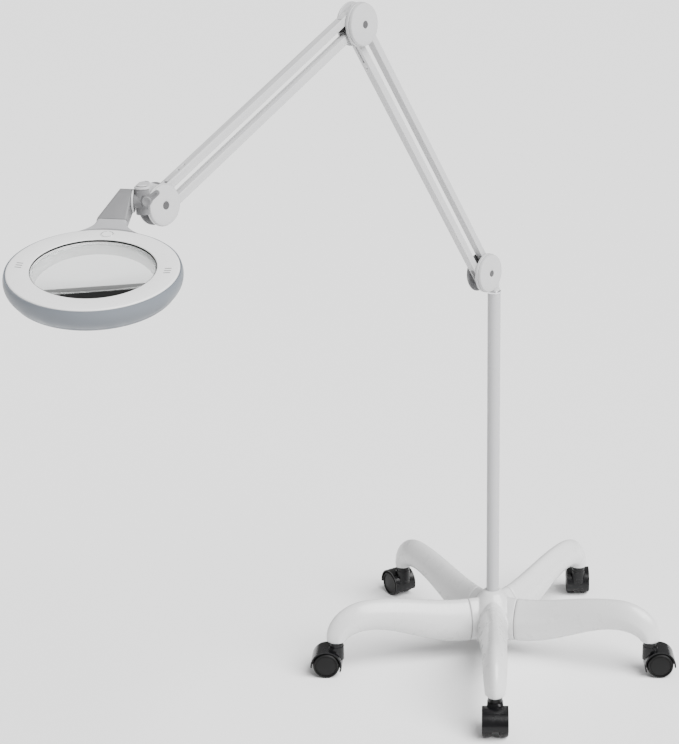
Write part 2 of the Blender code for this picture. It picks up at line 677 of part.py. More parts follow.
def make_elbow():
    """The elbow's two covers; the rear one carries both pivot pins."""
    middle = ELBOW - in_plane(LOWER_ANGLE, ELBOW_DISC_SHIFT)
    rear = make_discs("elbow", middle, ELBOW_DISC_R, THICK_FRONT_T, ARM_WHITE)
    for i, mesh in enumerate(pin_meshes(-DISC_INNER + GAP, DISC_INNER + EDGE)):
        join(rear, add_cutter(f"elbow_pin_{i}", mesh, plane_frame(ELBOW)))


def make_wrist():
    """The bracket at the end of the upper arm: it reaches forwards to an eye for the head's swivel."""
    frame = plane_frame(WRIST)
    low, high = (WRIST_ROOT_START, WRIST_ROOT_LOW), (WRIST_ROOT_END, EYE_TOP)
    root = box_mesh((*low, -CORE_W / 2), (*high, CORE_W / 2))
    bracket = add_bracket("wrist_bracket", root, frame)
    eye = rod_mesh(EYE_R, EYE_BOTTOM, EYE_TOP, "Y", ROUND, (SWIVEL_REACH, -SWIVEL_OFFSET))
    half = WRIST_ARM_W / 2
    heel = box_mesh((WRIST_ROOT_START, EYE_BOTTOM, -half), (WRIST_ROOT_END, EYE_TOP, half))
    join(bracket, add_cutter("wrist_arm", hull_mesh([eye, heel]), frame))
    bore = rod_mesh(SPIGOT_PIN_R + GAP, 0.0, FAR, "Y", SMALL, (SWIVEL_REACH, -SWIVEL_OFFSET))
    cut(bracket, add_cutter("wrist_eye_bore", bore, frame))
    make_discs("wrist", WRIST, WRIST_DISC_R, THIN_FRONT_T, MID_GREY)


# ---------------------------------------------------------------- head link


def swivel_point():
    return plane_frame(WRIST) @ Vector((SWIVEL_REACH, 0, -SWIVEL_OFFSET))


def head_frame():
    tilt = Matrix.Rotation(radians(HEAD_TILT), 4, "X")
    roll = Matrix.Rotation(radians(HEAD_ROLL), 4, "Y")
    return Matrix.Translation(HEAD_CENTRE) @ tilt @ roll


def tilt_frame():
    """The head's directions, with the origin on the swivel axis at the height of the tilt axis."""
    frame = head_frame()
    frame.translation = swivel_point() + Vector((0, 0, TILT_RISE))
    return frame


def level_frame():
    """The tilt axis's origin with level directions, for the clamp screw."""
    return Matrix.Translation(tilt_frame().translation)


def make_swivel():
    """The block between wrist and head: upright in the wrist's eye, level along the tilt axis."""
    upright = Matrix.Translation(swivel_point())
    tilt = tilt_frame()
    trunk = rod_mesh(BLOCK_R, BLOCK_FOOT, EYE_BOTTOM - GAP, sides=ROUND)
    body = add_part("swivel_block", trunk, MID_GREY, upright)
    barrel = rod_mesh(BARREL_R, COLLAR_HIGH + GAP, BARREL_END, "X", ROUND)
    join(body, add_cutter("swivel_barrel", barrel, tilt))
    boss = rod_mesh(BOSS_R, BOSS_START, BOSS_END, "Y", SMALL, (KNOB_X, KNOB_Z))
    heel = rod_mesh(BARREL_R - EDGE, 0.0, BARREL_END - EDGE, "X", ROUND)
    join(body, add_cutter("swivel_boss", hull_mesh([boss, heel]), level_frame()))
    spigot = rod_mesh(SPIGOT_PIN_R, EYE_BOTTOM - BLOCK_R, EYE_TOP + 2 * GAP)
    join(body, add_cutter("swivel_spigot", spigot, upright))
    join(body, add_cutter("swivel_axle", rod_mesh(AXLE_R, YOKE_LOW + HEAD_WALL, 0.0, "X"), tilt))
    end = BOSS_START + SCREW_REACH + EDGE
    bore = rod_mesh(SCREW_BORE_R, BOSS_START - EDGE, end, "Y", SMALL, (KNOB_X, KNOB_Z))
    cut(body, add_cutter("knob_bore", bore, level_frame()))
    make_swivel_cap(upright)
    make_swivel_collar(tilt)


def make_swivel_cap(upright):
    low = EYE_TOP + 3 * GAP
    high = low + SWIVEL_CAP_H
    cap = (
        (0, high),
        (SWIVEL_CAP_R - EDGE, high),
        (SWIVEL_CAP_R, low + EDGE / 2),
        (SWIVEL_CAP_R, low),
        (0, low),
    )
    turned("swivel_cap", cap, ARM_WHITE, upright, SMALL)


def make_swivel_collar(tilt):
    """The friction ring between the block and the yoke."""
    width = COLLAR_HIGH - COLLAR_LOW
    bore_r = AXLE_R + GAP
    collar = (
        (COLLAR_R - EDGE, width),
        (COLLAR_R, width - EDGE),
        (COLLAR_R, 0.0),
        (bore_r, 0.0),
        (bore_r, width),
    )
    along = tilt @ Matrix.Translation((COLLAR_LOW, 0, 0)) @ Matrix.Rotation(radians(90), 4, "Y")
    turned("swivel_collar", collar, ARM_WHITE, along)


def make_knob():
    """The clamp screw with its lever, in front of the swivel block."""
    frame = level_frame() @ Matrix.Translation((KNOB_X, BOSS_START - GAP, KNOB_Z))
    knob = add_part("tilt_knob", rod_mesh(KNOB_R, -KNOB_H, 0.0, "Y", ROUND), MID_GREY, frame)
    join(knob, add_cutter("knob_screw", rod_mesh(SCREW_R, -KNOB_H / 3, SCREW_REACH, "Y"), frame))
    tip = arc((LEVER_REACH, 0), LEVER_TIP_R, -90, 90)
    lever = outline_mesh([*tip, (0, LEVER_ROOT), (0, -LEVER_ROOT)], LEVER_T)
    facing = Matrix.Rotation(radians(90), 4, "X") @ Matrix.Rotation(radians(LEVER_TURN), 4, "Z")
    turn = Matrix.Translation((0, -KNOB_H / 2, 0)) @ facing
    join(knob, add_cutter("knob_lever", lever, frame @ turn))


def make_yoke():
    """The wedge that joins the tilt axis to the neck."""
    tilt = tilt_frame()
    to_tilt = tilt.inverted() @ head_frame()
    barrel = rod_mesh(YOKE_R, YOKE_LOW, YOKE_HIGH, "X", ROUND)
    half, thick = NECK_HALF + GAP, 2 * HEAD_WALL
    plate = box_mesh((-half, NECK_TOP_Y, -HEAD_WALL * 3), (half, NECK_TOP_Y + thick, thick))
    plate.transform(to_tilt)
    yoke = add_part("head_yoke", hull_mesh([barrel, plate]), MID_GREY, tilt)
    bore = rod_mesh(AXLE_R + GAP, YOKE_LOW + HEAD_WALL - 2 * GAP, FAR, "X")
    clearance = rod_mesh(COLLAR_R + EDGE, YOKE_HIGH, FAR, "X", ROUND)
    cut(yoke, add_cutter("yoke_bore", bore, tilt), add_cutter("yoke_clearance", clearance, tilt))


def make_neck():
    """The flared moulding between the head's rim and the yoke."""
    top_z = 2 * HEAD_WALL - EDGE
    end = box_mesh((-NECK_HALF, NECK_TOP_Y - EDGE, -HEAD_WALL * 3), (NECK_HALF, NECK_TOP_Y - GAP, top_z))
    waist_y = (NECK_TOP_Y + NECK_ROOT_Y) / 2
    waist_half = NECK_HALF + 2 * EDGE
    waist = box_mesh((-waist_half, waist_y, -HEAD_WALL * 4), (waist_half, waist_y + EDGE, HEAD_WALL))
    low_z, high_z = -HEAD_T * 0.6, -BEZEL_T - EDGE
    root = box_mesh((-NECK_ROOT_HALF, NECK_INNER_Y, low_z), (NECK_ROOT_HALF, NECK_ROOT_Y, high_z))
    neck = add_part("head_neck", hull_mesh([end, waist, root]), POLE_GREY, head_frame())
    clear = rod_mesh(HEAD_R + GAP, -FAR, FAR, "Z", HEAD_SIDES)
    cut(neck, add_cutter("neck_clear", clear, head_frame()))


# ---------------------------------------------------------------- head


def make_housing(frame):
    """The skirt: widest a little below its rim, then drawn in to the light's opening."""
    rim_z = -BEZEL_T - GAP
    profile = (
        (BEZEL_R + GAP + EDGE, rim_z + BEZEL_T),
        (HEAD_R - EDGE, rim_z - EDGE),
        (HEAD_R, SKIRT_WAIST_Z),
        (HEAD_R - 2 * EDGE, -HEAD_T * 0.6),
        (HEAD_R - 5 * EDGE, -HEAD_T * 0.85),
        (HEAD_FLOOR_R, -HEAD_T),
        (LIGHT_OUTER_R, -HEAD_T),
        (LIGHT_OUTER_R, -HEAD_T + LIGHT_T),
        (HEAD_FLOOR_R - EDGE, -HEAD_T + HEAD_WALL),
        (HEAD_R - HEAD_WALL - 2 * EDGE, -HEAD_T * 0.6),
        (HEAD_R - HEAD_WALL - EDGE, rim_z),
        (BEZEL_R + GAP, rim_z),
        (BEZEL_R + GAP, rim_z + BEZEL_T),
    )
    turned("head_housing", profile, SKIRT_GREY, frame, HEAD_SIDES)


def make_bezel(frame):
    """The white top ring, with a hole for the button."""
    profile = (
        (BEZEL_R - 2 * EDGE, 0.0),
        (BEZEL_R, -EDGE),
        (BEZEL_R, -BEZEL_T),
        (LENS_R + RING_WALL, -BEZEL_T),
        (LENS_R + EDGE / 2, -BEZEL_T + GAP),
        (LENS_R + 1.5 * EDGE, 0.0),
    )
    top = turned("head_bezel", profile, WHITE, frame, HEAD_SIDES)
    hole = rod_mesh(BUTTON_R + GAP, -FAR, FAR, "Z", ROUND, BUTTON_CENTRE)
    cut(top, add_cutter("button_hole", hole, frame))


def make_lens(frame):
    """The biconvex lens, and the ring whose ledge it sits on."""
    edge_bottom = LENS_EDGE_Z - LENS_EDGE_T
    top, bottom = [], []
    for i in range(LENS_STEPS + 1):
        share = i / LENS_STEPS
        rise = LENS_BULGE * (1 - share**2)
        top.append((LENS_R * share, LENS_EDGE_Z + rise))
        bottom.append((LENS_R * share, edge_bottom - rise))
    turned("lens", top + list(reversed(bottom)), GLASS, frame, HEAD_SIDES)
    outer, ledge = LENS_R + RING_WALL, edge_bottom - GAP
    foot = -HEAD_T + EDGE / 2
    ring = (
        (outer, -BEZEL_T - GAP),
        (outer, foot),
        (LENS_R - RING_LEDGE, foot),
        (LENS_R - RING_LEDGE, ledge),
        (LENS_R + GAP, ledge),
        (LENS_R + GAP, -BEZEL_T - GAP),
    )
    turned("lens_ring", ring, POLE_GREY, frame, HEAD_SIDES)


def make_light(frame):
    """The ring light under the head: a board and the opal panel below it."""
    inner = LENS_R + RING_WALL + GAP
    board = tube_profile(LIGHT_OUTER_R, inner + EDGE, BOARD_Z, BOARD_Z + BOARD_T)
    turned("led_board", board, BOARD, frame, ROUND)
    panel = tube_profile(LIGHT_OUTER_R - GAP, inner, -HEAD_T, -HEAD_T + LIGHT_T)
    turned("light_diffuser", panel, DIFFUSER, frame, HEAD_SIDES)


def make_button(frame):
    place = frame @ Matrix.Translation((*BUTTON_CENTRE, 0))
    profile = (
        (0, BUTTON_PROUD),
        (BUTTON_R - EDGE, BUTTON_PROUD),
        (BUTTON_R, -GAP),
        (BUTTON_R, -BUTTON_DEPTH),
        (0, -BUTTON_DEPTH),
    )
    turned("power_button", profile, WHITE, place)


def main():
    clear_scene()
    make_hub()
    make_ballast()
    make_legs()
    make_pole()
    make_casters()
    make_shoulder()
    make_arm("lower_arm", SHOULDER, LOWER_ANGLE, LOWER_LENGTH, FORKS, ELBOW_FORKS)
    make_elbow()
    make_arm("upper_arm", ELBOW, UPPER_ANGLE, UPPER_LENGTH, TONGUES, FORKS)
    make_bumper()
    make_wrist()
    make_swivel()
    make_knob()
    make_yoke()
    make_neck()
    frame = head_frame()
    make_housing(frame)
    make_bezel(frame)
    make_lens(frame)
    make_light(frame)
    make_button(frame)


main()
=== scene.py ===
"""The looks of a magnifying lamp on a rolling five-leg stand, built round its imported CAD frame."""

import json
from math import atan2, cos, pi, radians, sin

import bmesh
import bpy
from mathutils import Matrix, Vector


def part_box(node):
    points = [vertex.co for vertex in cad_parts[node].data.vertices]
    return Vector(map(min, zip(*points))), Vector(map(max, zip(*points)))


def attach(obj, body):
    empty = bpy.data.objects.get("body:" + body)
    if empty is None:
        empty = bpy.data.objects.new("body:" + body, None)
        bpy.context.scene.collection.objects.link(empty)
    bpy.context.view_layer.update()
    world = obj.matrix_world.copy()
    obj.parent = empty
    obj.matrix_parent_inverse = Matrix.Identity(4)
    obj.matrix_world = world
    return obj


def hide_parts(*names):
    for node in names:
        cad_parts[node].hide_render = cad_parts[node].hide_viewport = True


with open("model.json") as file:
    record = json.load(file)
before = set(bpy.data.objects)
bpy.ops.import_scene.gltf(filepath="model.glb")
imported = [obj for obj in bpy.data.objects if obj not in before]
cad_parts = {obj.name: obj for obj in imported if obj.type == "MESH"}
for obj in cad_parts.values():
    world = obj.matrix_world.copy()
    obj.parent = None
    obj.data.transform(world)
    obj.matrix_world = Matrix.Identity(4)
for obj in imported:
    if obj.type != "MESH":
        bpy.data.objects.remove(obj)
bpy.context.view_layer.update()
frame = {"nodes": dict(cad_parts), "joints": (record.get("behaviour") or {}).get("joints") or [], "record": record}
JOINTS = {joint["name"]: joint for joint in frame["joints"]}

GAP = 0.0003  # clearance between neighbouring pieces
HEAD_SIDES = 160  # sides of the large turned pieces in the head

# Stand: half widths and half heights of a leg's section are at its root, its crest and its tip
LEG_COUNT = 5
LEG_ROOT_R, LEG_CREST_R, STEM_CIRCLE_R = 0.0485, 0.2420, 0.3000
LEG_ROOT_Z, LEG_CREST_Z, LEG_TIP_Z = 0.0710, 0.1080, 0.0660
LEG_ROOT_HALF = Vector((0.0270, 0.0410))
LEG_CREST_HALF = Vector((0.0222, 0.0285))
LEG_TIP_HALF = Vector((0.0172, 0.0172))
LEG_LIP = 0.0012
SECTION_SIDES, LEG_STEPS = 48, 30
ROOT_CREST = 0.55  # how far the top of a leg's root section is drawn to a crest, from 0 to 1
HUB_TOP_Z, HUB_BOTTOM_Z = 0.1225, 0.0310
HUB_CAVITY_R, HUB_BORE_R, STEM_SOCKET_R = 0.0300, 0.0119, 0.0058

# Casters, in a frame on the floor under the stem: x is the way that the wheels trail
HOOD_R, HOOD_WALL, HOOD_HALF, HOOD_WEB = 0.0285, 0.0024, 0.0225, 0.0057
HOOD_NECK_R, HOOD_TOP_Z = 0.0135, 0.0654
WHEEL_R, WHEEL_HALF, WHEEL_Y = 0.0240, 0.0080, 0.0145

# Arms
BAR_H, BAR_W = 0.0120, 0.0130
PIN_R, PIN_BORE_R = 0.0025, 0.0029
CORE_W, CORE_R = 0.0060, 0.0070
DISC_INNER, REAR_T = 0.0072, 0.0050
FRONT_T = {"shoulder": 0.0110, "elbow": 0.0110, "wrist": 0.0060}
DISC_DOME, BACKING_SHARE = 0.0010, 0.44
CAP_R = 0.0053
BUMPER_START, BUMPER_LENGTH, BUMPER_T, BUMPER_W = 0.0240, 0.0260, 0.0055, 0.0110
EYE_R, EYE_BOTTOM, EYE_TOP = 0.0098, 0.0303, 0.0337  # heights above the wrist's middle

# Head link, along the tilt axis unless it says otherwise
BLOCK_R, BLOCK_FOOT, BARREL_R, BARREL_END = 0.0092, -0.0030, 0.0105, 0.0085
YOKE_R, YOKE_LOW, YOKE_HIGH = 0.0155, -0.0290, -0.0132
COLLAR_R, COLLAR_LOW, COLLAR_HIGH = 0.0156, -0.0128, -0.0103
KNOB_X, KNOB_Z, LEVER_REACH = 0.0115, 0.0062, 0.0165

# Head, in its own frame: x along the tilt axis, y towards the neck, z out of the top face
HEAD_R, BEZEL_R, HEAD_T = 0.1090, 0.1052, 0.0320
LENS_R, LENS_EDGE_Z, LENS_EDGE_T, LENS_BULGE = 0.0762, -0.0048, 0.0032, 0.0036
LIGHT_OUTER_R, BOARD_Z = 0.0940, -0.0200
NECK_TOP_Y, NECK_HALF = 0.1250, 0.0198
BUTTON_R, BUTTON_TOP = 0.0085, 0.0004
MARK_COUNT, MARK_PITCH = 3, 0.0056
LAMP_COUNT = 36

# Studio
KEY_FROM = (0.9, -0.75, 1.3)  # the way to the main light
KEY_ENERGY, KEY_SPREAD = 8.0, 50
SKY_STRENGTH, FLOOR_HALF = 0.45, 30.0
CAMERA_AT, CAMERA_DOWN = (-0.0482, -2.7891, 1.412), 17.546
CAMERA_LENS, CAMERA_SENSOR = 79.2, 36
CAMERA_SHIFT_X, CAMERA_SHIFT_Y = -0.171, 0.0128


# ---------------------------------------------------------------- materials


def node_material(name):
    found = bpy.data.materials.new(name)
    found.use_nodes = True
    return found, found.node_tree, found.node_tree.nodes["Principled BSDF"]


def noise(tree, scale, detail=3.0):
    """A noise texture in the piece's own coordinates."""
    coords = tree.nodes.new("ShaderNodeTexCoord")
    texture = tree.nodes.new("ShaderNodeTexNoise")
    texture.inputs["Scale"].default_value = scale
    texture.inputs["Detail"].default_value = detail
    tree.links.new(coords.outputs["Object"], texture.inputs["Vector"])
    return texture.outputs["Fac"]


def spread(tree, value, low, high):
    """Maps a noise value from its usual spread onto low to high."""
    node = tree.nodes.new("ShaderNodeMapRange")
    node.inputs["From Min"].default_value = 0.3
    node.inputs["From Max"].default_value = 0.7
    node.inputs["To Min"].default_value = low
    node.inputs["To Max"].default_value = high
    tree.links.new(value, node.inputs["Value"])
    return node.outputs["Result"]


def tinted(tree, value, colour, darker):
    """The colour, made a little darker where the value is low."""
    node = tree.nodes.new("ShaderNodeMix")
    node.data_type = "RGBA"
    node.inputs["A"].default_value = (*(c * darker for c in colour), 1)
    node.inputs["B"].default_value = (*colour, 1)
    tree.links.new(value, node.inputs["Factor"])
    return node.outputs["Result"]


def bumped(tree, shader, value, strength, distance):
    node = tree.nodes.new("ShaderNodeBump")
    node.inputs["Strength"].default_value = strength
    node.inputs["Distance"].default_value = distance
    tree.links.new(value, node.inputs["Height"])
    tree.links.new(node.outputs["Normal"], shader.inputs["Normal"])


def coated(name, colour, roughness, grain, darker=0.94, bump=0.15, metallic=0.0, coat=0.0, shine=0.5):
    """A finish with a faint mottle, uneven gloss and a fine grain in its surface."""
    made, tree, shader = node_material(name)
    mottle = spread(tree, noise(tree, 14.0, 4.0), 0.0, 1.0)
    tree.links.new(tinted(tree, mottle, colour, darker), shader.inputs["Base Color"])
    wear = noise(tree, 55.0, 5.0)
    tree.links.new(spread(tree, wear, roughness * 0.8, roughness * 1.25), shader.inputs["Roughness"])
    bumped(tree, shader, noise(tree, grain, 2.0), bump, 0.0002)
    shader.inputs["Metallic"].default_value = metallic
    shader.inputs["Coat Weight"].default_value = coat
    shader.inputs["Coat Roughness"].default_value = 0.08
    shader.inputs["Specular IOR Level"].default_value = shine
    return made


def clear_glass(name):
    made, tree, shader = node_material(name)
    smears = spread(tree, noise(tree, 9.0, 3.0), 0.0, 1.0)
    tree.links.new(tinted(tree, smears, (0.97, 0.985, 0.98), 0.99), shader.inputs["Base Color"])
    tree.links.new(spread(tree, noise(tree, 30.0), 0.0, 0.02), shader.inputs["Roughness"])
    bumped(tree, shader, noise(tree, 20.0, 0.0), 0.01, 0.0001)
    shader.inputs["Transmission Weight"].default_value = 1.0
    shader.inputs["IOR"].default_value = 1.5
    return made


LOOKS = {
    "leg_plastic": coated("white_leg", (0.62, 0.62, 0.62), 0.30, 900, 0.985, 0.03, coat=0.3),
    "pole_paint": coated("pole_powder_coat", (0.42, 0.42, 0.43), 0.34, 1400, 0.97, 0.08),
    "arm_paint": coated("arm_powder_coat", (0.48, 0.48, 0.485), 0.40, 1600, 0.97, 0.10),
    "bright_chrome": coated("chrome", (0.85, 0.85, 0.87), 0.10, 300, 0.97, 0.02, 1.0),
    "joint_plastic": coated("grey_moulding", (0.14, 0.14, 0.145), 0.46, 1500, 0.92, 0.12),
    "yoke_paint": coated("grey_casting", (0.17, 0.17, 0.175), 0.42, 900, 0.90, 0.18),
    "black_plastic": coated("black_hood", (0.004, 0.004, 0.0045), 0.24, 1200, 0.80, 0.08, shine=0.25),
    "wheel_plastic": coated("black_tread", (0.004, 0.004, 0.004), 0.40, 900, 0.70, 0.15, shine=0.20),
    "bumper_rubber": coated("black_rubber", (0.006, 0.006, 0.006), 0.70, 1500, 0.80, 0.20, shine=0.20),
    "pin_steel": coated("zinc_plate", (0.60, 0.60, 0.61), 0.30, 600, 0.92, 0.06, 1.0),
    "spring_steel": coated("spring_wire", (0.45, 0.45, 0.46), 0.35, 600, 0.85, 0.08, 1.0),
    "ballast_iron": coated("cast_iron", (0.06, 0.06, 0.06), 0.75, 300, 0.70, 0.50, 0.6),
    "head_white": coated("white_bezel", (0.74, 0.74, 0.74), 0.32, 1100, 0.985, 0.04),
    "head_skirt": coated("blue_grey_skirt", (0.125, 0.14, 0.16), 0.40, 1100, 0.94, 0.08),
    "neck_plastic": coated("light_grey_neck", (0.32, 0.32, 0.33), 0.40, 1200, 0.96, 0.08),
    "ring_grey": coated("lens_ring", (0.80, 0.80, 0.80), 0.45, 1000, 0.95, 0.10),
    "lens_glass": clear_glass("lens_glass"),
    "board_white": coated("solder_mask", (0.70, 0.73, 0.70), 0.55, 700, 0.92, 0.10),
    "diffuser_opal": coated("opal_panel", (0.92, 0.92, 0.90), 0.45, 600, 0.98, 0.04),
    "cap_grey": coated("cap_plug", (0.075, 0.075, 0.077), 0.50, 1500, 0.94, 0.08, shine=0.3),
    # painted shade: a near-black finish for the thin sleeve at the bezel's inner lip, standing in for the shadow
    # in the gap there
    "painted_rim_shade": coated("painted_shade_at_lens", (0.012, 0.012, 0.012), 0.55, 1000, 0.90, 0.05, shine=0.2),
    "mark_grey": coated("printed_mark", (0.07, 0.07, 0.075), 0.50, 900, 0.92, 0.04),
    "print_light": coated("printed_ring", (0.16, 0.16, 0.165), 0.50, 900, 0.96, 0.04),
}


# ---------------------------------------------------------------- making meshes


def finished(bm, name):
    bmesh.ops.recalc_face_normals(bm, faces=bm.faces)
    mesh = bpy.data.meshes.new(name)
    bm.to_mesh(mesh)
    bm.free()
    return mesh


def moved(mesh, matrix):
    mesh.transform(matrix)
    return mesh


def box_mesh(low, high):
    size = Vector(high) - Vector(low)
    centre = (Vector(high) + Vector(low)) / 2
    bm = bmesh.new()
    matrix = Matrix.Translation(centre) @ Matrix.Diagonal((*size, 1.0))
    bmesh.ops.create_cube(bm, size=1.0, matrix=matrix)
    return finished(bm, "box")


def rod_mesh(radius, low, high, axis="Z", sides=48, centre=(0, 0), end_radius=None):
    """A cylinder, or a cone with end_radius, from low to high along an axis."""
    turns = {"X": Matrix.Rotation(radians(90), 4, "Y"), "Y": Matrix.Rotation(radians(-90), 4, "X")}
    a, b = centre
    place = {"X": (0, a, b), "Y": (a, 0, b), "Z": (a, b, 0)}[axis]
    middle = Matrix.Translation((0, 0, (low + high) / 2))
    bm = bmesh.new()
    bmesh.ops.create_cone(
        bm,
        cap_ends=True,
        segments=sides,
        radius1=radius,
        radius2=radius if end_radius is None else end_radius,
        depth=high - low,
        matrix=Matrix.Translation(place) @ turns.get(axis, Matrix()) @ middle,
    )
    return finished(bm, "rod")


def outline_mesh(points, low, high):
    """A flat outline in xy, drawn up from z = low to z = high."""
    bm = bmesh.new()
    face = bm.faces.new([bm.verts.new((x, y, low)) for x, y in points])
    top = bmesh.ops.extrude_face_region(bm, geom=[face])["geom"]
    lifted = [part for part in top if isinstance(part, bmesh.types.BMVert)]
    bmesh.ops.translate(bm, verts=lifted, vec=(0, 0, high - low))
    return finished(bm, "outline")


def hull_mesh(*meshes):
    bm = bmesh.new()
    for mesh in meshes:
        bm.from_mesh(mesh)
    bmesh.ops.delete(bm, geom=bm.faces, context="FACES_ONLY")
    bmesh.ops.delete(bm, geom=bm.edges, context="EDGES_FACES")
    bmesh.ops.convex_hull(bm, input=bm.verts)
    bmesh.ops.delete(bm, geom=[v for v in bm.verts if not v.link_faces], context="VERTS")
    bmesh.ops.dissolve_limit(bm, angle_limit=radians(1), verts=bm.verts, edges=bm.edges)
    return finished(bm, "hull")


def lathe_mesh(profile, sides=96):
    """A turned mesh about z, from (r, z) points. A profile that is off the axis closes itself."""
    bm = bmesh.new()
    closed = profile[0][0] > 0 or profile[-1][0] > 0
    rings = []
    for r, z in profile:
        if r == 0:
            rings.append([bm.verts.new((0, 0, z))])
        else:
            angles = [2 * pi * i / sides for i in range(sides)]
            rings.append([bm.verts.new((r * cos(a), r * sin(a), z)) for a in angles])
    pairs = list(zip(rings, rings[1:]))
    if closed:
        pairs.append((rings[-1], rings[0]))
    for upper, lower in pairs:
        for i in range(sides):
            k = (i + 1) % sides
            turns = ((upper, i), (upper, k), (lower, k), (lower, i))
            corners = [ring[at % len(ring)] for ring, at in turns]
            bm.faces.new(list(dict.fromkeys(corners)))
    return finished(bm, "lathe")


def arc(centre, radius, start, end, steps):
    angles = [radians(start + (end - start) * i / steps) for i in range(steps + 1)]
    return [(centre[0] + radius * cos(a), centre[1] + radius * sin(a)) for a in angles]


def rounded_rect(half_x, half_y, corner, steps=5, centre=(0, 0)):
    points = []
    for sx, sy, start in ((1, 1, 0), (-1, 1, 90), (-1, -1, 180), (1, -1, 270)):
        middle = (centre[0] + sx * (half_x - corner), centre[1] + sy * (half_y - corner))
        points += arc(middle, corner, start, start + 90, steps)
    return points


def holder(mesh):
    obj = bpy.data.objects.new("helper", mesh)
    bpy.context.scene.collection.objects.link(obj)
    return obj


def shaped(mesh, adds=(), cuts=(), bevel=0.0, segments=3, limit=28):
    """The mesh with others joined on and cut away, and its edges rounded."""
    obj = holder(mesh)
    helpers = []
    for operation, meshes in (("UNION", adds), ("DIFFERENCE", cuts)):
        for other in meshes:
            helpers.append(holder(other))
            modifier = obj.modifiers.new("boolean", "BOOLEAN")
            modifier.operation = operation
            modifier.solver = "EXACT"
            modifier.object = helpers[-1]
    if bevel:
        modifier = obj.modifiers.new("bevel", "BEVEL")
        modifier.width = bevel
        modifier.segments = segments
        modifier.limit_method = "ANGLE"
        modifier.angle_limit = radians(limit)
    bpy.context.view_layer.update()
    graph = bpy.context.evaluated_depsgraph_get()
    made = bpy.data.meshes.new_from_object(obj.evaluated_get(graph))
    for helper in (obj, *helpers):
        bpy.data.objects.remove(helper, do_unlink=True)
    return made


def piece(name, mesh, look, body, matrix=Matrix(), nodes=(), sharp=35):
    """A visible piece that rides on a body and stands for the CAD nodes listed."""
    obj = bpy.data.objects.new(name, mesh)
    bpy.context.scene.collection.objects.link(obj)
    obj.matrix_world = matrix
    if not mesh.materials:
        mesh.materials.append(LOOKS[look])
    mesh.shade_smooth()
    mesh.set_sharp_from_angle(angle=radians(sharp))
    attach(obj, body)
    if nodes:
        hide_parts(*nodes)


# ---------------------------------------------------------------- places read from the frame


def joint_point(name):
    return Vector(JOINTS[name]["pos_m"])


def joint_axis(name):
    return Vector(JOINTS[name]["axis"]).normalized()


def frame_of(x, y, z, place):
    matrix = Matrix((x, y, z)).transposed().to_4x4()
    matrix.translation = place
    return matrix


def arm_frame(place, angle=0.0):
    """x outwards in the arm's plane, y up, z towards the rear discs; turned by angle about z."""
    back = joint_axis("lower_arm_lift")
    up = Vector((0, 0, 1))
    return frame_of(up.cross(back), up, back, place) @ Matrix.Rotation(angle, 4, "Z")


def pivots():
    """The two pivots of each joint and the middle between them."""
    shoulder = [joint_point("lower_arm_lift"), joint_point("lower_bar_2_follow")]
    elbow = [joint_point("upper_arm_lift"), joint_point("upper_bar_2_follow")]
    first = joint_point("wrist_level")
    wrist = [first, first + elbow[1] - elbow[0]]
    return {"shoulder": shoulder, "elbow": elbow, "wrist": wrist}


PIVOTS = pivots()
MIDDLES = {name: (a + b) / 2 for name, (a, b) in PIVOTS.items()}


def bar_angle(start, end):
    """The angle of a bar in the arm's plane, from the horizontal."""
    along = arm_frame(Vector()).inverted() @ (end - start)
    return atan2(along.y, along.x)


def head_frame():
    out = -joint_axis("power_button_press")
    across = -joint_axis("head_tilt")
    low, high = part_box("lens")
    centre = (low + high) / 2 - out * (LENS_EDGE_Z - LENS_EDGE_T / 2)
    return frame_of(across, out.cross(across), out, centre)


def tilt_frame():
    made = head_frame()
    made.translation = joint_point("head_tilt")
    return made


def leg_frame(index):
    spot = joint_point(f"caster_{index + 1}_swivel")
    return Matrix.Rotation(atan2(spot.y, spot.x), 4, "Z")


# ---------------------------------------------------------------- stand


def leg_ring(bm, centre, direction, half, crest):
    """One section: a soft crest along the top, full sides and a flatter underside."""
    up = Vector((-direction.z, 0, direction.x))
    ring = []
    for i in range(SECTION_SIDES):
        angle = 2 * pi * i / SECTION_SIDES
        across, rise = cos(angle), sin(angle)
        if rise > 0:
            pointed = 1 - abs(across) ** 1.65
            rise = rise * (1 - crest) + pointed * crest
        else:
            rise = -(abs(rise) ** 0.86)
        side = (abs(across) ** 0.94) * (1 if across > 0 else -1)
        ring.append(bm.verts.new(centre + up * half.y * rise + Vector((0, half.x * side, 0))))
    return ring


def loft(bm, rings):
    for ring, following in zip(rings, rings[1:]):
        for j in range(len(ring)):
            k = (j + 1) % len(ring)
            bm.faces.new((ring[j], ring[k], following[k], following[j]))
    bm.faces.new(rings[0])
    bm.faces.new(list(reversed(rings[-1])))


def leg_station(t):
    """A section's centre, direction and half sizes: an eased rise for t up to 1, then a quarter turn."""
    if t <= 1:
        rise = t * t * (3 - 2 * t)
        run, climb = LEG_CREST_R - LEG_ROOT_R, LEG_CREST_Z - LEG_ROOT_Z
        centre = Vector((LEG_ROOT_R + run * t, 0, LEG_ROOT_Z + climb * rise))
        direction = Vector((run, 0, 6 * t * (1 - t) * climb))
        return centre, direction.normalized(), LEG_ROOT_HALF.lerp(LEG_CREST_HALF, rise)
    turn = pi / 2 * (t - 1)
    reach, drop = STEM_CIRCLE_R - LEG_CREST_R, LEG_CREST_Z - LEG_TIP_Z
    centre = Vector((LEG_CREST_R + reach * sin(turn), 0, LEG_TIP_Z + drop * cos(turn)))
    direction = Vector((reach * cos(turn), 0, -drop * sin(turn)))
    return centre, direction.normalized(), LEG_TIP_HALF.lerp(LEG_CREST_HALF, cos(turn))


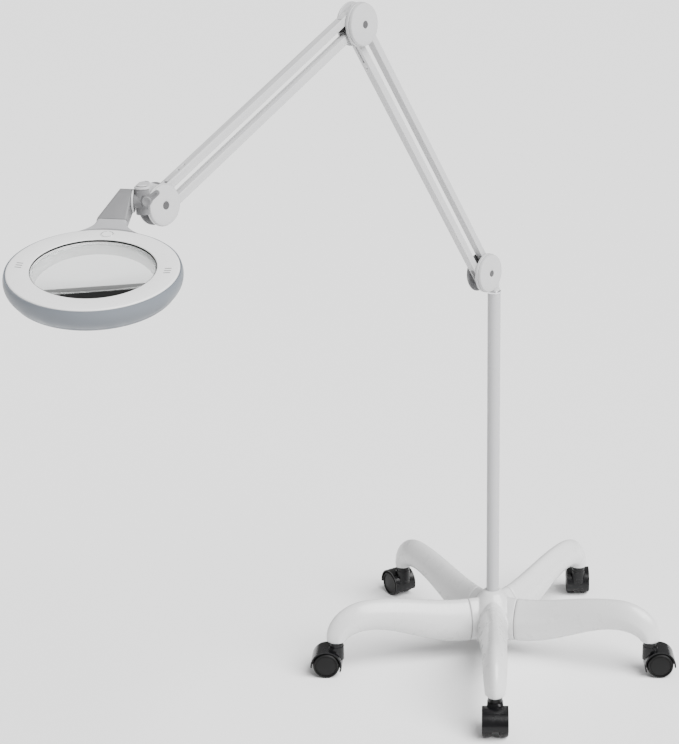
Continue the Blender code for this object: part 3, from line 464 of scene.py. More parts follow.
def leg_mesh():
    """A leg with a rounded lip at the hub seam and at the caster socket."""
    bm = bmesh.new()
    rings = []
    for i in range(2 * LEG_STEPS + 1):
        t = i / LEG_STEPS
        centre, direction, half = leg_station(t)
        crest = ROOT_CREST + 0.35 * max(0.0, t - 1)
        if i in (0, 2 * LEG_STEPS):
            inward = direction * LEG_LIP * (1 if i == 0 else -1)
            ends = []
            for share in (0.0, 0.3, 1.0):
                shrunk = half - Vector((1, 1)) * LEG_LIP * (1 - share)
                ends.append(leg_ring(bm, centre + inward * share, direction, shrunk, crest))
            rings += ends if i == 0 else reversed(ends)
        else:
            rings.append(leg_ring(bm, centre, direction, half, crest))
    loft(bm, rings)
    return finished(bm, "leg")


def make_legs():
    socket = rod_mesh(STEM_SOCKET_R, 0.05, 0.09, centre=(STEM_CIRCLE_R, 0))
    foot = LEG_TIP_Z
    plate = lathe_mesh(
        (
            (0.0125, foot + 0.0002),
            (0.0132, foot - 0.0004),
            (0.0132, foot - 0.0010),
            (0.0060, foot - 0.0010),
            (0.0060, foot + 0.0002),
        ),
        48,
    )
    mesh = shaped(leg_mesh(), cuts=[socket])
    for i in range(LEG_COUNT):
        piece(f"leg_{i + 1}_shell", mesh, "leg_plastic", "stand", leg_frame(i), [f"leg_{i + 1}"], 50)
        washer = leg_frame(i) @ Matrix.Translation((STEM_CIRCLE_R, 0, 0))
        piece(f"leg_{i + 1}_socket_ring", plate, "pin_steel", "stand", washer)


def stub_mesh():
    """A hub arm: the leg's own root section, drawn in to the pole."""
    sections = (
        (0.0040, 0.80, 0.970),
        (0.0220, 0.90, 0.990),
        (0.0400, 1.0, 1.0),
        (LEG_ROOT_R - LEG_LIP, 1.0, 1.0),
    )
    bm = bmesh.new()
    rings = []
    for radius, width, height in sections:
        centre = Vector((radius, 0, LEG_ROOT_Z))
        half = Vector((LEG_ROOT_HALF.x * width, LEG_ROOT_HALF.y * height))
        rings.append(leg_ring(bm, centre, Vector((1, 0, 0)), half, ROOT_CREST))
    loft(bm, rings)
    return finished(bm, "stub")


def make_hub():
    """The hub as one moulding, its five arms blended into each other round the pole."""
    core = lathe_mesh(
        (
            (0, HUB_TOP_Z + 0.0020),
            (0.0140, HUB_TOP_Z + 0.0016),
            (0.0190, HUB_TOP_Z - 0.0010),
            (0.0300, HUB_TOP_Z - 0.0140),
            (0.0400, HUB_TOP_Z - 0.0320),
            (0.0405, HUB_BOTTOM_Z + 0.0080),
            (0.0370, HUB_BOTTOM_Z),
            (0, HUB_BOTTOM_Z),
        )
    )
    stubs = [moved(stub_mesh(), leg_frame(i)) for i in range(LEG_COUNT)]
    rough = holder(shaped(core, adds=stubs))
    remesh = rough.modifiers.new("remesh", "REMESH")
    remesh.mode = "VOXEL"
    remesh.voxel_size = 0.0011
    smooth = rough.modifiers.new("smooth", "SMOOTH")
    smooth.factor = 0.5
    smooth.iterations = 7
    bpy.context.view_layer.update()
    graph = bpy.context.evaluated_depsgraph_get()
    blended = bpy.data.meshes.new_from_object(rough.evaluated_get(graph))
    bpy.data.objects.remove(rough, do_unlink=True)
    cavity = rod_mesh(HUB_CAVITY_R, 0.0, 0.098, sides=64)
    bore = rod_mesh(HUB_BORE_R, 0.05, 0.2, sides=64)
    hub = shaped(blended, cuts=[cavity, bore])
    piece("hub_shell", hub, "leg_plastic", "stand", nodes=["base_hub"], sharp=60)
    rim = lathe_mesh(
        (
            (0.0122, HUB_TOP_Z + 0.0026),
            (0.0136, HUB_TOP_Z + 0.0022),
            (0.0141, HUB_TOP_Z + 0.0006),
            (0.0141, HUB_TOP_Z - 0.0040),
            (0.0117, HUB_TOP_Z - 0.0040),
            (0.0117, HUB_TOP_Z + 0.0022),
        )
    )
    piece("hub_pole_seat", rim, "leg_plastic", "stand")


def make_pole():
    low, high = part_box("pole_tube")
    radius = (high.x - low.x) / 2
    tube = lathe_mesh(
        (
            (radius - 0.0006, high.z),
            (radius - 0.0001, high.z - 0.0004),
            (radius, high.z - 0.0010),
            (radius, low.z + 0.0006),
            (radius - 0.0006, low.z),
            (radius - 0.0015, low.z),
            (radius - 0.0015, high.z),
        )
    )
    piece("pole_shell", tube, "pole_paint", "stand", nodes=["pole_tube"])
    low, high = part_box("pole_collar")
    outer = (high.x - low.x) / 2
    middle = (low.z + high.z) / 2
    collar = lathe_mesh(
        (
            (outer - 0.0014, high.z),
            (outer - 0.0003, high.z - 0.0005),
            (outer, high.z - 0.0012),
            (outer, middle + 0.0004),
            (outer - 0.0006, middle),
            (outer, middle - 0.0004),
            (outer, low.z + 0.0005),
            (outer - 0.0006, low.z),
            (0.0101, low.z),
            (0.0101, high.z),
        )
    )
    piece("pole_collar_ring", collar, "bright_chrome", "stand", nodes=["pole_collar"])


# ---------------------------------------------------------------- casters


def hood_mesh(axle_x, axle_z):
    """The twin-wheel hood: an arched shell with a rolled lip, its web, and the neck round the stem."""
    shell = rod_mesh(HOOD_R, -HOOD_HALF, HOOD_HALF, "Y", 96, (axle_x, axle_z))
    neck = rod_mesh(HOOD_NECK_R, 0.030, HOOD_TOP_Z, end_radius=HOOD_NECK_R - 0.0011)
    apron = hull_mesh(
        rod_mesh(HOOD_NECK_R, 0.030, 0.056, sides=48),
        box_mesh((axle_x - 0.018, -0.0150, 0.030), (axle_x, 0.0150, 0.040)),
    )
    cuts = []
    for side in (-1, 1):
        low, high = sorted((side * HOOD_WEB, side * (HOOD_HALF + 0.01)))
        cuts.append(rod_mesh(HOOD_R - HOOD_WALL, low, high, "Y", 96, (axle_x, axle_z)))
    slope = box_mesh((-0.06, -0.05, -0.06), (0.09, 0.05, 0.0))
    mouth = Matrix.Translation((axle_x, 0, 0.0170)) @ Matrix.Rotation(radians(-9), 4, "Y")
    cuts.append(moved(slope, mouth))
    cuts.append(rod_mesh(0.0032, -0.02, 0.02, "Y", 24, (axle_x, axle_z)))
    cuts.append(rod_mesh(0.0056, 0.050, 0.08, sides=32))
    return shaped(shell, adds=[neck, apron], cuts=cuts, bevel=0.0007, segments=2, limit=40)


def wheel_mesh():
    """A wheel about z, outer face up: dished cap, ring groove, crowned tread and half of the axle."""
    radius, half = WHEEL_R, WHEEL_HALF
    axle_end = 0.0062
    profile = (
        (0, half - 0.0005),
        (0.0060, half - 0.0007),
        (0.0150, half - 0.0012),
        (0.0182, half - 0.0014),
        (0.0186, half - 0.0022),
        (0.0194, half - 0.0022),
        (0.0198, half - 0.0004),
        (0.0212, half),
        (0.0226, half - 0.0006),
        (0.0236, half - 0.0020),
        (radius, half - 0.0042),
        (radius, 0.0006),
        (radius - 0.0005, 0.0),
        (radius, -0.0006),
        (radius, -half + 0.0022),
        (radius - 0.0008, -half + 0.0006),
        (radius - 0.0020, -half),
        (0.0060, -half),
        (0.0060, -half + 0.0010),
        (0.0028, -half + 0.0010),
        (0.0028, -half - axle_end),
        (0, -half - axle_end),
    )
    return lathe_mesh(profile, 72)


def make_casters():
    first = joint_point("caster_1_swivel")
    axle = joint_point("caster_1_roll_a")
    trail = (Vector((axle.x, axle.y)) - Vector((first.x, first.y))).length
    hood = hood_mesh(trail, axle.z)
    wheel = wheel_mesh()
    outline = ((0, 0.0998), (0.0046, 0.0998), (0.0054, 0.0990), (0.0054, 0.0506), (0, 0.0506))
    stem = lathe_mesh(outline, 32)
    for i in range(LEG_COUNT):
        swivel = joint_point(f"caster_{i + 1}_swivel")
        axle = joint_point(f"caster_{i + 1}_roll_a")
        heading = atan2(axle.y - swivel.y, axle.x - swivel.x)
        spot = Matrix.Translation((swivel.x, swivel.y, 0)) @ Matrix.Rotation(heading, 4, "Z")
        caster = f"caster_{i + 1}"
        fork = f"{caster}_fork"
        piece(f"{caster}_hood_shell", hood, "black_plastic", fork, spot, [f"{caster}_hood"], 30)
        piece(f"{caster}_stem_pin", stem, "pin_steel", fork, spot, [f"{caster}_stem"])
        for side, sign in (("a", -1), ("b", 1)):
            facing = Matrix.Rotation(radians(-90 * sign), 4, "X")
            hub = Matrix.Translation((trail, sign * WHEEL_Y, axle.z)) @ facing
            name = f"{caster}_wheel_{side}"
            piece(f"{name}_disc", wheel, "wheel_plastic", name, spot @ hub, [name])


# ---------------------------------------------------------------- arms


def bar_mesh(length, near, far, details=()):
    """A box-section bar between its pivots: near and far shape its ends, and details cut its faces."""
    half = BAR_H / 2
    points = arc((length, 0), half, -90, 90, 12) + arc((0, 0), half, 90, 270, 12)
    body = outline_mesh(points, -BAR_W / 2, BAR_W / 2)
    cuts = list(details)
    for end, at, inward in ((near, 0.0, 1), (far, length, -1)):
        low, high = sorted((at - inward * 0.02, at + inward * end["length"]))
        width = end["width"] / 2
        if end["kind"] == "fork":
            cuts.append(box_mesh((low, -0.02, -width), (high, 0.02, width)))
        else:
            cuts.append(box_mesh((low, -0.02, width), (high, 0.02, 0.02)))
            cuts.append(box_mesh((low, -0.02, -0.02), (high, 0.02, -width)))
        cuts.append(rod_mesh(PIN_BORE_R, -0.02, 0.02, centre=(at, 0), sides=32))
    return shaped(body, cuts=cuts, bevel=0.0011, segments=3, limit=50)


def slit(low, high, width, side, across=0.0):
    """A narrow slot in a bar's upper or lower face."""
    near, far = sorted((side * 0.003, side * 0.02))
    return box_mesh((low, near, across - width / 2), (high, far, across + width / 2))


def screw_hole(at, side, radius=0.0014):
    near, far = sorted((side * 0.0035, side * 0.02))
    return rod_mesh(radius, near, far, "Y", 24, (at, 0))


SHORT_FORK = {"kind": "fork", "width": 0.0068, "length": 0.014}
LONG_FORK = {"kind": "fork", "width": 0.0068, "length": 0.037}
ELBOW_FORK = {"kind": "fork", "width": 0.0086, "length": 0.022}
TONGUE = {"kind": "tongue", "width": 0.0080, "length": 0.022}


def make_bars():
    runs = (
        ("lower", "shoulder", "elbow", (SHORT_FORK, LONG_FORK), (ELBOW_FORK, ELBOW_FORK)),
        ("upper", "elbow", "wrist", (TONGUE, TONGUE), (SHORT_FORK, LONG_FORK)),
    )
    for arm, near, far, near_ends, far_ends in runs:
        for number in (0, 1):
            start, end = PIVOTS[near][number], PIVOTS[far][number]
            length = (end - start).length
            details = bar_details(arm, number, length)
            mesh = bar_mesh(length, near_ends[number], far_ends[number], details)
            body, node = f"{arm}_bar_{number + 1}", f"{arm}_arm_bar_{number + 1}"
            placed = arm_frame(start, bar_angle(start, end))
            piece(f"{node}_tube", mesh, "arm_paint", body, placed, [node])


def bar_details(arm, number, length):
    """The slits and screw holes in the faces of a bar; number 0 is the outer bar of the pair."""
    if arm == "lower" and number == 0:
        return [screw_hole(0.050, 1), screw_hole(length - 0.0450, 1)]
    if arm == "lower":
        return [slit(length - 0.0560, length - 0.0240, 0.0034, -1), screw_hole(length - 0.0670, -1)]
    if number == 0:
        return [
            slit(0.0405, 0.0420, 0.0080, 1),
            screw_hole(length - 0.0400, 1, 0.0020),
            slit(length - 0.0540, length - 0.0490, 0.0030, 1),
        ]
    return [slit(0.0400, length - 0.0550, 0.0022, 1, 0.0038)]


def make_bumper():
    """The rubber block under the outer upper bar, which stops the two bars from meeting."""
    start, end = PIVOTS["elbow"][0], PIVOTS["wrist"][0]
    top = -BAR_H / 2 - GAP
    low = (BUMPER_START, top - BUMPER_T, -BUMPER_W / 2)
    high = (BUMPER_START + BUMPER_LENGTH, top, BUMPER_W / 2)
    mesh = shaped(box_mesh(low, high), bevel=0.0012)
    placed = arm_frame(start, bar_angle(start, end))
    piece("elbow_rubber_stop", mesh, "bumper_rubber", "upper_bar_1", placed, ["elbow_bumper"])


def disc_mesh(radius, thickness, side):
    """A joint cover about z: a backing plate, a shadow groove, and a domed face with a cap recess."""
    backing = thickness * BACKING_SHARE
    dome = thickness + DISC_DOME
    points = (
        (0, thickness - 0.0004),
        (CAP_R + GAP, thickness - 0.0004),
        (CAP_R + GAP, dome - 0.0003),
        (CAP_R + 4 * GAP, dome),
        (radius * 0.45, dome - 0.0002),
        (radius * 0.75, dome - 0.0006),
        (radius - 0.0036, thickness - 0.0001),
        (radius - 0.0020, thickness - 0.0007),
        (radius - 0.0013, thickness - 0.0018),
        (radius - 0.0011, backing + 0.0010),
        (radius - 0.0022, backing + 0.0007),
        (radius - 0.0022, backing + 0.0002),
        (radius - 0.0004, backing),
        (radius, backing - 0.0006),
        (radius, 0.0005),
        (radius - 0.0005, 0.0),
        (0, 0.0),
    )
    if side > 0:
        return lathe_mesh([(r, DISC_INNER + z) for r, z in points])
    return lathe_mesh([(r, -DISC_INNER - z) for r, z in reversed(points)])


def cap_mesh(thickness):
    """The small plug in the middle of a front cover, slightly dished."""
    high = -DISC_INNER - thickness + 0.0001
    low = high - 0.0018
    return lathe_mesh(
        (
            (0, high),
            (CAP_R, high),
            (CAP_R, low + 0.0008),
            (CAP_R - 0.0003, low + 0.0002),
            (CAP_R - 0.0008, low),
            (CAP_R - 0.0022, low),
            (CAP_R - 0.0027, low + 0.0003),
            (0, low + 0.0004),
        ),
        48,
    )


def pin_rods(name, low, high):
    """The joint's two pivot pins, in the arm frame at its middle."""
    local = arm_frame(MIDDLES[name]).inverted()
    spots = [local @ point for point in PIVOTS[name]]
    return [rod_mesh(PIN_R, low, high, sides=32, centre=(spot.x, spot.y)) for spot in spots]


def make_discs():
    """The covers of each joint, where the frame has them: at the elbow they are off the pins' middle."""
    bodies = {"shoulder": "turret", "elbow": "elbow", "wrist": "wrist"}
    for name, body in bodies.items():
        low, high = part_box(f"{name}_disc_front")
        radius = (high.z - low.z) / 2
        placed = arm_frame(MIDDLES[name])
        spot = placed.inverted() @ ((low + high) / 2)
        shift = Matrix.Translation((spot.x, spot.y, 0))
        front = moved(disc_mesh(radius, FRONT_T[name], -1), shift)
        rear = moved(disc_mesh(radius, REAR_T, 1), shift)
        if name == "elbow":
            rear = shaped(rear, adds=pin_rods(name, -DISC_INNER + GAP, DISC_INNER + 0.001))
        rear_look = "arm_paint" if name == "elbow" else "joint_plastic"
        piece(f"{name}_cover_front", front, "arm_paint", body, placed, [f"{name}_disc_front"], 30)
        piece(f"{name}_cover_rear", rear, rear_look, body, placed, [f"{name}_disc_rear"], 30)
        plug = moved(cap_mesh(FRONT_T[name]), shift)
        piece(f"{name}_cap_plug", plug, "cap_grey", body, placed, [f"{name}_cap"])


def core_mesh(name, root):
    """A bracket's plate between the forks of the bars, from both pins to the bracket's root."""
    local = arm_frame(MIDDLES[name]).inverted()
    spots = [local @ point for point in PIVOTS[name]]
    bosses = [rod_mesh(CORE_R, -CORE_W / 2, CORE_W / 2, sides=32, centre=(s.x, s.y)) for s in spots]
    return hull_mesh(*bosses, root)


def make_shoulder():
    """The turret: core plate and pins, a post with rounded corners, and the spigot into the pole."""
    middle = MIDDLES["shoulder"]
    placed = arm_frame(middle)
    axis = placed.inverted() @ Vector((0, 0, middle.z))
    top_of_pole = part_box("pole_collar")[1].z - middle.z
    post_half = 0.0072
    low = (axis.x - post_half, -0.0240, -CORE_W / 2)
    high = (axis.x + post_half, 0.0040, CORE_W / 2)
    root = box_mesh(low, high)
    standing = Matrix.Rotation(radians(-90), 4, "X")
    upright = Matrix.Translation((axis.x, top_of_pole + GAP, axis.z)) @ standing
    section = rounded_rect(post_half, 0.0068, 0.0025)
    post = moved(outline_mesh(section, 0, 0.0030 - top_of_pole), upright)
    flange = ((0, 0.0032), (0.0084, 0.0032), (0.0092, 0.0026), (0.0092, 0.0), (0, 0.0))
    foot = moved(lathe_mesh(flange, 64), upright)
    spigot = moved(rod_mesh(0.0096, -0.06, 0.004), upright)
    pins = pin_rods("shoulder", -DISC_INNER + GAP, DISC_INNER - GAP)
    adds = [post, foot, spigot, *pins]
    mesh = shaped(core_mesh("shoulder", root), adds=adds, bevel=0.0008, segments=2, limit=45)
    piece("shoulder_turret", mesh, "arm_paint", "turret", placed, ["shoulder_bracket"])


def make_wrist():
    """The wrist's bracket: core plate and pins, and an arm that reaches forwards to the swivel's eye."""
    placed = arm_frame(MIDDLES["wrist"])
    local = placed.inverted() @ joint_point("head_swivel")
    spot = (local.x, local.z)
    root = box_mesh((0.0200, 0.0160, -CORE_W / 2), (0.0270, EYE_TOP, CORE_W / 2))
    arm = hull_mesh(
        box_mesh((0.0190, EYE_BOTTOM, -0.0062), (0.0270, EYE_TOP, 0.0062)),
        rod_mesh(EYE_R, EYE_BOTTOM, EYE_TOP, "Y", 64, spot),
    )
    bore = rod_mesh(0.0049, 0.0, 0.06, "Y", 48, spot)
    pins = pin_rods("wrist", -DISC_INNER + GAP, DISC_INNER - GAP)
    mesh = shaped(core_mesh("wrist", root), adds=[arm, *pins], cuts=[bore], bevel=0.0011, limit=45)
    piece("wrist_yoke_bracket", mesh, "arm_paint", "wrist", placed, ["wrist_bracket"])


# ---------------------------------------------------------------- head link


def make_swivel():
    """The swivel block, with its upright and level barrels and its clamp boss, then its cap and collar."""
    tilt = tilt_frame()
    upright = Matrix.Translation(joint_point("head_swivel"))
    to_tilt = upright.inverted() @ tilt
    level = to_tilt.copy()
    shift = Matrix.Translation(to_tilt.translation)
    body = rod_mesh(BLOCK_R, BLOCK_FOOT, EYE_BOTTOM - GAP, sides=64)
    barrel = moved(rod_mesh(BARREL_R, COLLAR_HIGH + GAP, BARREL_END, "X", 64), level)
    boss = hull_mesh(
        rod_mesh(0.0054, -0.0215, -0.0110, "Y", 48, (KNOB_X, KNOB_Z)),
        rod_mesh(BARREL_R - 0.0010, 0.0, BARREL_END - 0.0010, "X", 48),
    )
    axle = moved(rod_mesh(0.0040, YOKE_LOW + 0.003, 0.0, "X", 32), level)
    spigot = rod_mesh(0.0046, EYE_BOTTOM - BLOCK_R, EYE_TOP + 2 * GAP, sides=32)
    bore = moved(rod_mesh(0.0028, -0.03, -0.0085, "Y", 32, (KNOB_X, KNOB_Z)), shift)
    adds = [barrel, moved(boss, shift), axle, spigot]
    mesh = shaped(body, adds=adds, cuts=[bore], bevel=0.0010, limit=35)
    piece("swivel_casting", mesh, "yoke_paint", "head_mount", upright, ["swivel_block"])
    base = EYE_TOP + 3 * GAP
    cap = lathe_mesh(
        (
            (0, base + 0.0014),
            (0.0030, base + 0.0014),
            (0.0056, base + 0.0012),
            (0.0066, base + 0.0008),
            (0.0070, base + 0.0003),
            (0.0070, base),
            (0, base),
        ),
        64,
    )
    piece("swivel_cap_nut", cap, "arm_paint", "head_mount", upright, ["swivel_cap"])
    width = COLLAR_HIGH - COLLAR_LOW
    ring = lathe_mesh(
        (
            (COLLAR_R - 0.0012, width),
            (COLLAR_R - 0.0003, width - 0.0004),
            (COLLAR_R, width - 0.0012),
            (COLLAR_R, 0.0008),
            (COLLAR_R - 0.0006, 0.0),
            (0.0043, 0.0),
            (0.0043, width - 0.0008),
            (0.0100, width - 0.0008),
            (0.0112, width),
        )
    )
    along = tilt @ Matrix.Translation((COLLAR_LOW, 0, 0)) @ Matrix.Rotation(radians(90), 4, "Y")
    piece("swivel_collar_ring", ring, "arm_paint", "head_mount", along, ["swivel_collar"])


def make_knob():
    """The clamp screw: a chamfered head with a dished face, and a tommy bar that narrows to a round end."""
    head = lathe_mesh(
        (
            (0, 0.0121),
            (0.0036, 0.0121),
            (0.0042, 0.0125),
            (0.0056, 0.0125),
            (0.0063, 0.0117),
            (0.0064, 0.0105),
            (0.0064, 0.0012),
            (0.0056, 0.0),
            (0.0024, 0.0),
            (0.0024, -0.0118),
            (0, -0.0118),
        ),
        64,
    )
    head = moved(head, Matrix.Rotation(radians(90), 4, "X"))
    tapered = arc((LEVER_REACH, 0), 0.0037, -90, 90, 10) + [(0, 0.0046), (0, -0.0046)]
    lever = outline_mesh(tapered, -0.0025, 0.0025)
    facing = Matrix.Rotation(radians(90), 4, "X") @ Matrix.Rotation(radians(38), 4, "Z")
    turn = Matrix.Translation((0, -0.0065, 0)) @ facing
    groove = outline_mesh(rounded_rect(0.0045, 0.0011, 0.0010, centre=(0.0125, 0)), 0.0019, 0.0040)
    mesh = shaped(head, adds=[moved(lever, turn)], cuts=[moved(groove, turn)], bevel=0.0007, limit=40)
    placed = Matrix.Translation(joint_point("tilt_knob_turn"))
    piece("clamp_screw", mesh, "yoke_paint", "knob", placed, ["tilt_knob"])


def make_yoke():
    """The yoke: a barrel on the tilt axis, drawn out in one slab to the neck's width."""
    tilt = tilt_frame()
    neck = tilt.inverted() @ head_frame()
    barrel = rod_mesh(YOKE_R, YOKE_LOW, YOKE_HIGH, "X", 64)
    upwards = Matrix.Rotation(radians(-90), 4, "X")
    foot = moved(outline_mesh(rounded_rect(NECK_HALF, 0.0072, 0.0040), 0, 0.006), upwards)
    foot = moved(foot, neck @ Matrix.Translation((0, NECK_TOP_Y, -0.0015)))
    bore = rod_mesh(0.0043, YOKE_LOW + 0.0025, 0.01, "X", 32)
    clearance = rod_mesh(COLLAR_R + 0.0008, YOKE_HIGH, 0.03, "X", 64)
    recess = rod_mesh(0.0090, YOKE_LOW - 0.01, YOKE_LOW + 0.0010, "X", 48)
    cuts = [bore, clearance, recess]
    mesh = shaped(hull_mesh(barrel, foot), cuts=cuts, bevel=0.0016, limit=30)
    piece("yoke_casting", mesh, "yoke_paint", "head", tilt, ["head_yoke"], 40)


def skirt_swell(extra=0.0):
    """The skirt's outer side from its rim down, as (r, z) points; extra is added outwards."""
    return arc((HEAD_R - 0.0230, -0.0110), 0.0230 + extra, 24, -48, 14)


def neck_outline(share):
    """The neck's section, from the rim (share 0) to the yoke (share 1): half width, top and bottom."""
    flare = (1 - share) ** 2.2
    half = NECK_HALF + (0.0480 - NECK_HALF) * flare
    return half, -0.0008 + 0.0058 * share, -0.0210 + 0.0115 * share


def make_neck():
    """The neck: a flared, tapering moulding that laps the skirt's rim and runs up to the yoke."""
    inner, steps = 0.0950, 16
    bm = bmesh.new()
    rings = []
    for i in range(steps + 1):
        share = i / steps
        half, top, bottom = neck_outline(share)
        y = inner + (NECK_TOP_Y - GAP - inner) * share
        middle, height = (top + bottom) / 2, (top - bottom) / 2
        outline = rounded_rect(half, height, height * 0.6, 6)
        rings.append([bm.verts.new((x, y, z + middle)) for x, z in outline])
    loft(bm, rings)
    rim, above, below = BEZEL_R + GAP, 0.0100, -0.0500
    side = skirt_swell(GAP)
    head_space = lathe_mesh(
        (
            (0, above),
            (rim, above),
            (rim, side[0][1]),
            *side,
            (side[-1][0], below),
            (0, below),
        ),
        HEAD_SIDES,
    )
    mesh = shaped(finished(bm, "neck"), cuts=[head_space])
    piece("neck_moulding", mesh, "neck_plastic", "head", head_frame(), ["head_neck"], 50)


# ---------------------------------------------------------------- head


def make_housing():
    """The skirt: it swells past the bezel, then turns in to the light's opening."""
    rim = BEZEL_R + GAP
    swell = skirt_swell()
    skirt = lathe_mesh(
        (
            (rim, swell[0][1]),
            *swell,
            (LIGHT_OUTER_R + 0.0060, -HEAD_T + 0.0012),
            (LIGHT_OUTER_R + 0.0046, -HEAD_T),
            (LIGHT_OUTER_R, -HEAD_T),
            (LIGHT_OUTER_R, -HEAD_T + 0.0024),
            (HEAD_R - 0.0120, -HEAD_T + 0.0050),
            (HEAD_R - 0.0050, -0.0180),
            (HEAD_R - 0.0040, -0.0030),
            (rim, -0.0030),
        ),
        HEAD_SIDES,
    )
    piece("skirt_shell", skirt, "head_skirt", "head", head_frame(), ["head_housing"], 50)


def make_bezel():
    """The white top ring, with rounded edges, a lip round the lens and the button's hole."""
    placed = head_frame()
    bezel = lathe_mesh(
        (
            (BEZEL_R - 0.0026, 0.0),
            (BEZEL_R - 0.0012, -0.0003),
            (BEZEL_R - 0.0003, -0.0010),
            (BEZEL_R, -0.0020),
            (BEZEL_R - 0.0004, -0.0025),
            (LENS_R + 0.0028, -0.0025),
            (LENS_R + 0.0006, -0.0022),
            (LENS_R + 0.0007, -0.0008),
            (LENS_R + 0.0014, -0.0001),
            (LENS_R + 0.0022, 0.0),
        ),
        HEAD_SIDES,
    )
    button = placed.inverted() @ button_place()
    hole = rod_mesh(BUTTON_R + 0.0002, -0.01, 0.01, sides=64, centre=(button.x, button.y))
    piece("bezel_top", shaped(bezel, cuts=[hole]), "head_white", "head", placed, ["head_bezel"], 50)


def button_place():
    low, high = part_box("power_button")
    return (low + high) / 2


def make_button():
    """The touch button, with a printed ring broken in three places."""
    placed = head_frame()
    local = placed.inverted() @ button_place()
    top = BUTTON_TOP
    at = placed @ Matrix.Translation((local.x, local.y, 0))
    plug = lathe_mesh(
        (
            (0, top - 0.0003),
            (0.0045, top - 0.0002),
            (BUTTON_R - 0.0012, top),
            (BUTTON_R - 0.0004, top - 0.0002),
            (BUTTON_R, top - 0.0008),
            (BUTTON_R, -0.0060),
            (0, -0.0060),
        ),
        64,
    )
    piece("touch_button", plug, "head_white", "button", at, ["power_button"])
    for i in range(3):
        start = 100 + 120 * i
        end = start + 100
        ring = arc((0, 0), 0.0077, start, end, 20) + arc((0, 0), 0.0070, end, start, 20)
        printed = outline_mesh(ring, top - 0.0004, top + 0.0001)
        piece(f"touch_button_print_{i + 1}", printed, "print_light", "button", at)


def make_marks():
    """Three short printed strokes at each side of the bezel."""
    placed = head_frame()
    radius = (BEZEL_R + LENS_R) / 2
    for side, name in ((-1, "left"), (1, "right")):
        for i in range(MARK_COUNT):
            stroke = outline_mesh(rounded_rect(0.0042, 0.0007, 0.0005, 3), -0.0004, 0.00012)
            at = placed @ Matrix.Translation((side * radius, (i - 1) * MARK_PITCH, 0))
            turned = at @ Matrix.Rotation(radians(side * 8), 4, "Z")
            piece(f"bezel_mark_{name}_{i + 1}", stroke, "mark_grey", "head", turned)


def make_lens():
    """The lens, bulging on both faces, the ring that it sits in, and a band of painted shade at the bezel's lip.
    """
    placed = head_frame()
    edge_bottom, steps = LENS_EDGE_Z - LENS_EDGE_T, 20
    shares = [i / steps for i in range(steps + 1)]
    top = [(LENS_R * share, LENS_EDGE_Z + LENS_BULGE * (1 - share**2)) for share in shares]
    bottom = [(r, LENS_EDGE_Z + edge_bottom - z) for r, z in reversed(top)]
    piece("lens_glass", lathe_mesh(top + bottom, HEAD_SIDES), "lens_glass", "head", placed, ["lens"], 50)
    ledge, foot = edge_bottom - GAP, -HEAD_T + 0.0005
    ring = lathe_mesh(
        (
            (LENS_R + 0.0014, -0.0027),
            (LENS_R + 0.0026, -0.0029),
            (LENS_R + 0.0026, foot + 0.0007),
            (LENS_R + 0.0020, foot),
            (LENS_R - 0.0012, foot),
            (LENS_R - 0.0020, foot + 0.0007),
            (LENS_R - 0.0020, ledge - 0.0002),
            (LENS_R - 0.0018, ledge),
            (LENS_R + GAP, ledge),
            (LENS_R + GAP, -0.0030),
        ),
        HEAD_SIDES,
    )
    piece("lens_seat_ring", ring, "ring_grey", "head", placed, ["lens_ring"], 50)
    # painted shade: a thin near-black sleeve just outside the lens edge, standing in for the shadow in the gap
    # under the bezel's lip
    low, high, inner, outer = -0.0032, -0.0008, LENS_R + 0.0001, LENS_R + 0.0004
    band = lathe_mesh(((inner, low), (outer, low), (outer, high), (inner, high)), HEAD_SIDES)
    piece("painted_shade_band_at_lens", band, "painted_rim_shade", "head", placed)


def make_light():
    """The ring light under the head: the opal panel, and the board of lamps above it."""
    placed = head_frame()
    inner, outer = LENS_R + 0.0029, LIGHT_OUTER_R - GAP
    panel = lathe_mesh(
        (
            (outer, -HEAD_T + 0.0022),
            (outer, -HEAD_T + 0.0008),
            (outer - 0.0008, -HEAD_T),
            (inner + 0.0008, -HEAD_T),
            (inner, -HEAD_T + 0.0008),
            (inner, -HEAD_T + 0.0022),
        ),
        HEAD_SIDES,
    )
    piece("light_panel", panel, "diffuser_opal", "head", placed, ["light_diffuser"])
    low, high, hole = BOARD_Z, BOARD_Z + 0.0016, inner + 0.001
    board = lathe_mesh(((LIGHT_OUTER_R, high), (LIGHT_OUTER_R, low), (hole, low), (hole, high)))
    middle = Matrix.Translation(((inner + outer) / 2, 0, 0))
    chips = []
    for i in range(LAMP_COUNT):
        chip = box_mesh((-0.0014, -0.0017, low - 0.0008), (0.0014, 0.0017, low + 0.0006))
        chips.append(moved(chip, Matrix.Rotation(2 * pi * i / LAMP_COUNT, 4, "Z") @ middle))
    piece("light_board", shaped(board, adds=chips), "board_white", "head", placed, ["led_board"])


# ---------------------------------------------------------------- carried over from the CAD, and the studio


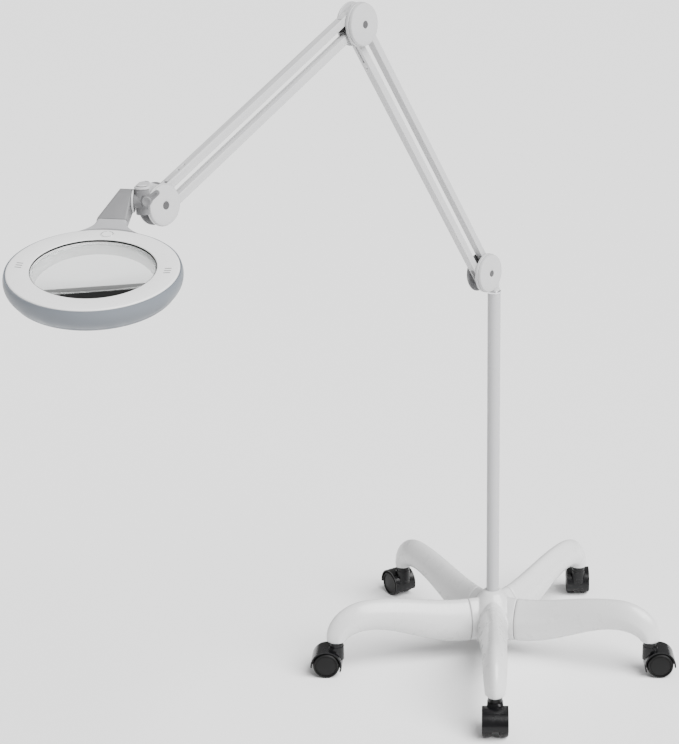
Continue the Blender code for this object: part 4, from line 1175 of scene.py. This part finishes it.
def dress_carried():
    """The CAD nodes that stay as they are get their slot's own look."""
    slots = {part["node"]: part["material_slot"] for part in frame["record"]["subparts"]}
    for name, obj in frame["nodes"].items():
        if not obj.hide_render:
            obj.data.materials.clear()
            obj.data.materials.append(LOOKS[slots[name]])


def make_floor():
    made, tree, shader = node_material("studio_floor")
    mottle = spread(tree, noise(tree, 3.0), 0.0, 1.0)
    tree.links.new(tinted(tree, mottle, (0.95, 0.95, 0.95), 0.995), shader.inputs["Base Color"])
    shader.inputs["Roughness"].default_value = 0.65
    bm = bmesh.new()
    bmesh.ops.create_grid(bm, x_segments=1, y_segments=1, size=FLOOR_HALF)
    floor = holder(finished(bm, "studio_floor"))
    floor.name = "studio_floor"
    floor.data.materials.append(made)


def make_lights():
    """A soft key from the upper right, under an even sky that fills the shadows."""
    world = bpy.data.worlds.new("studio")
    world.use_nodes = True
    background = world.node_tree.nodes["Background"]
    background.inputs["Color"].default_value = (1.0, 1.0, 1.0, 1.0)
    background.inputs["Strength"].default_value = SKY_STRENGTH
    bpy.context.scene.world = world
    data = bpy.data.lights.new("key", "SUN")
    data.energy = KEY_ENERGY
    data.angle = radians(KEY_SPREAD)
    key = bpy.data.objects.new("key", data)
    bpy.context.scene.collection.objects.link(key)
    key.rotation_euler = Vector(KEY_FROM).to_track_quat("Z", "Y").to_euler()


def make_camera():
    data = bpy.data.cameras.new("camera")
    data.sensor_fit = "VERTICAL"
    data.sensor_height = CAMERA_SENSOR
    data.lens = CAMERA_LENS
    data.shift_x = CAMERA_SHIFT_X
    data.shift_y = CAMERA_SHIFT_Y
    obj = bpy.data.objects.new("camera", data)
    bpy.context.scene.collection.objects.link(obj)
    obj.location = CAMERA_AT
    obj.rotation_euler = (radians(90 - CAMERA_DOWN), 0, 0)
    bpy.context.scene.camera = obj


def main():
    make_legs()
    make_hub()
    make_pole()
    make_casters()
    make_bars()
    make_bumper()
    make_discs()
    make_shoulder()
    make_wrist()
    make_swivel()
    make_knob()
    make_yoke()
    make_neck()
    make_housing()
    make_bezel()
    make_button()
    make_marks()
    make_lens()
    make_light()
    dress_carried()
    make_floor()
    make_lights()
    make_camera()


main()
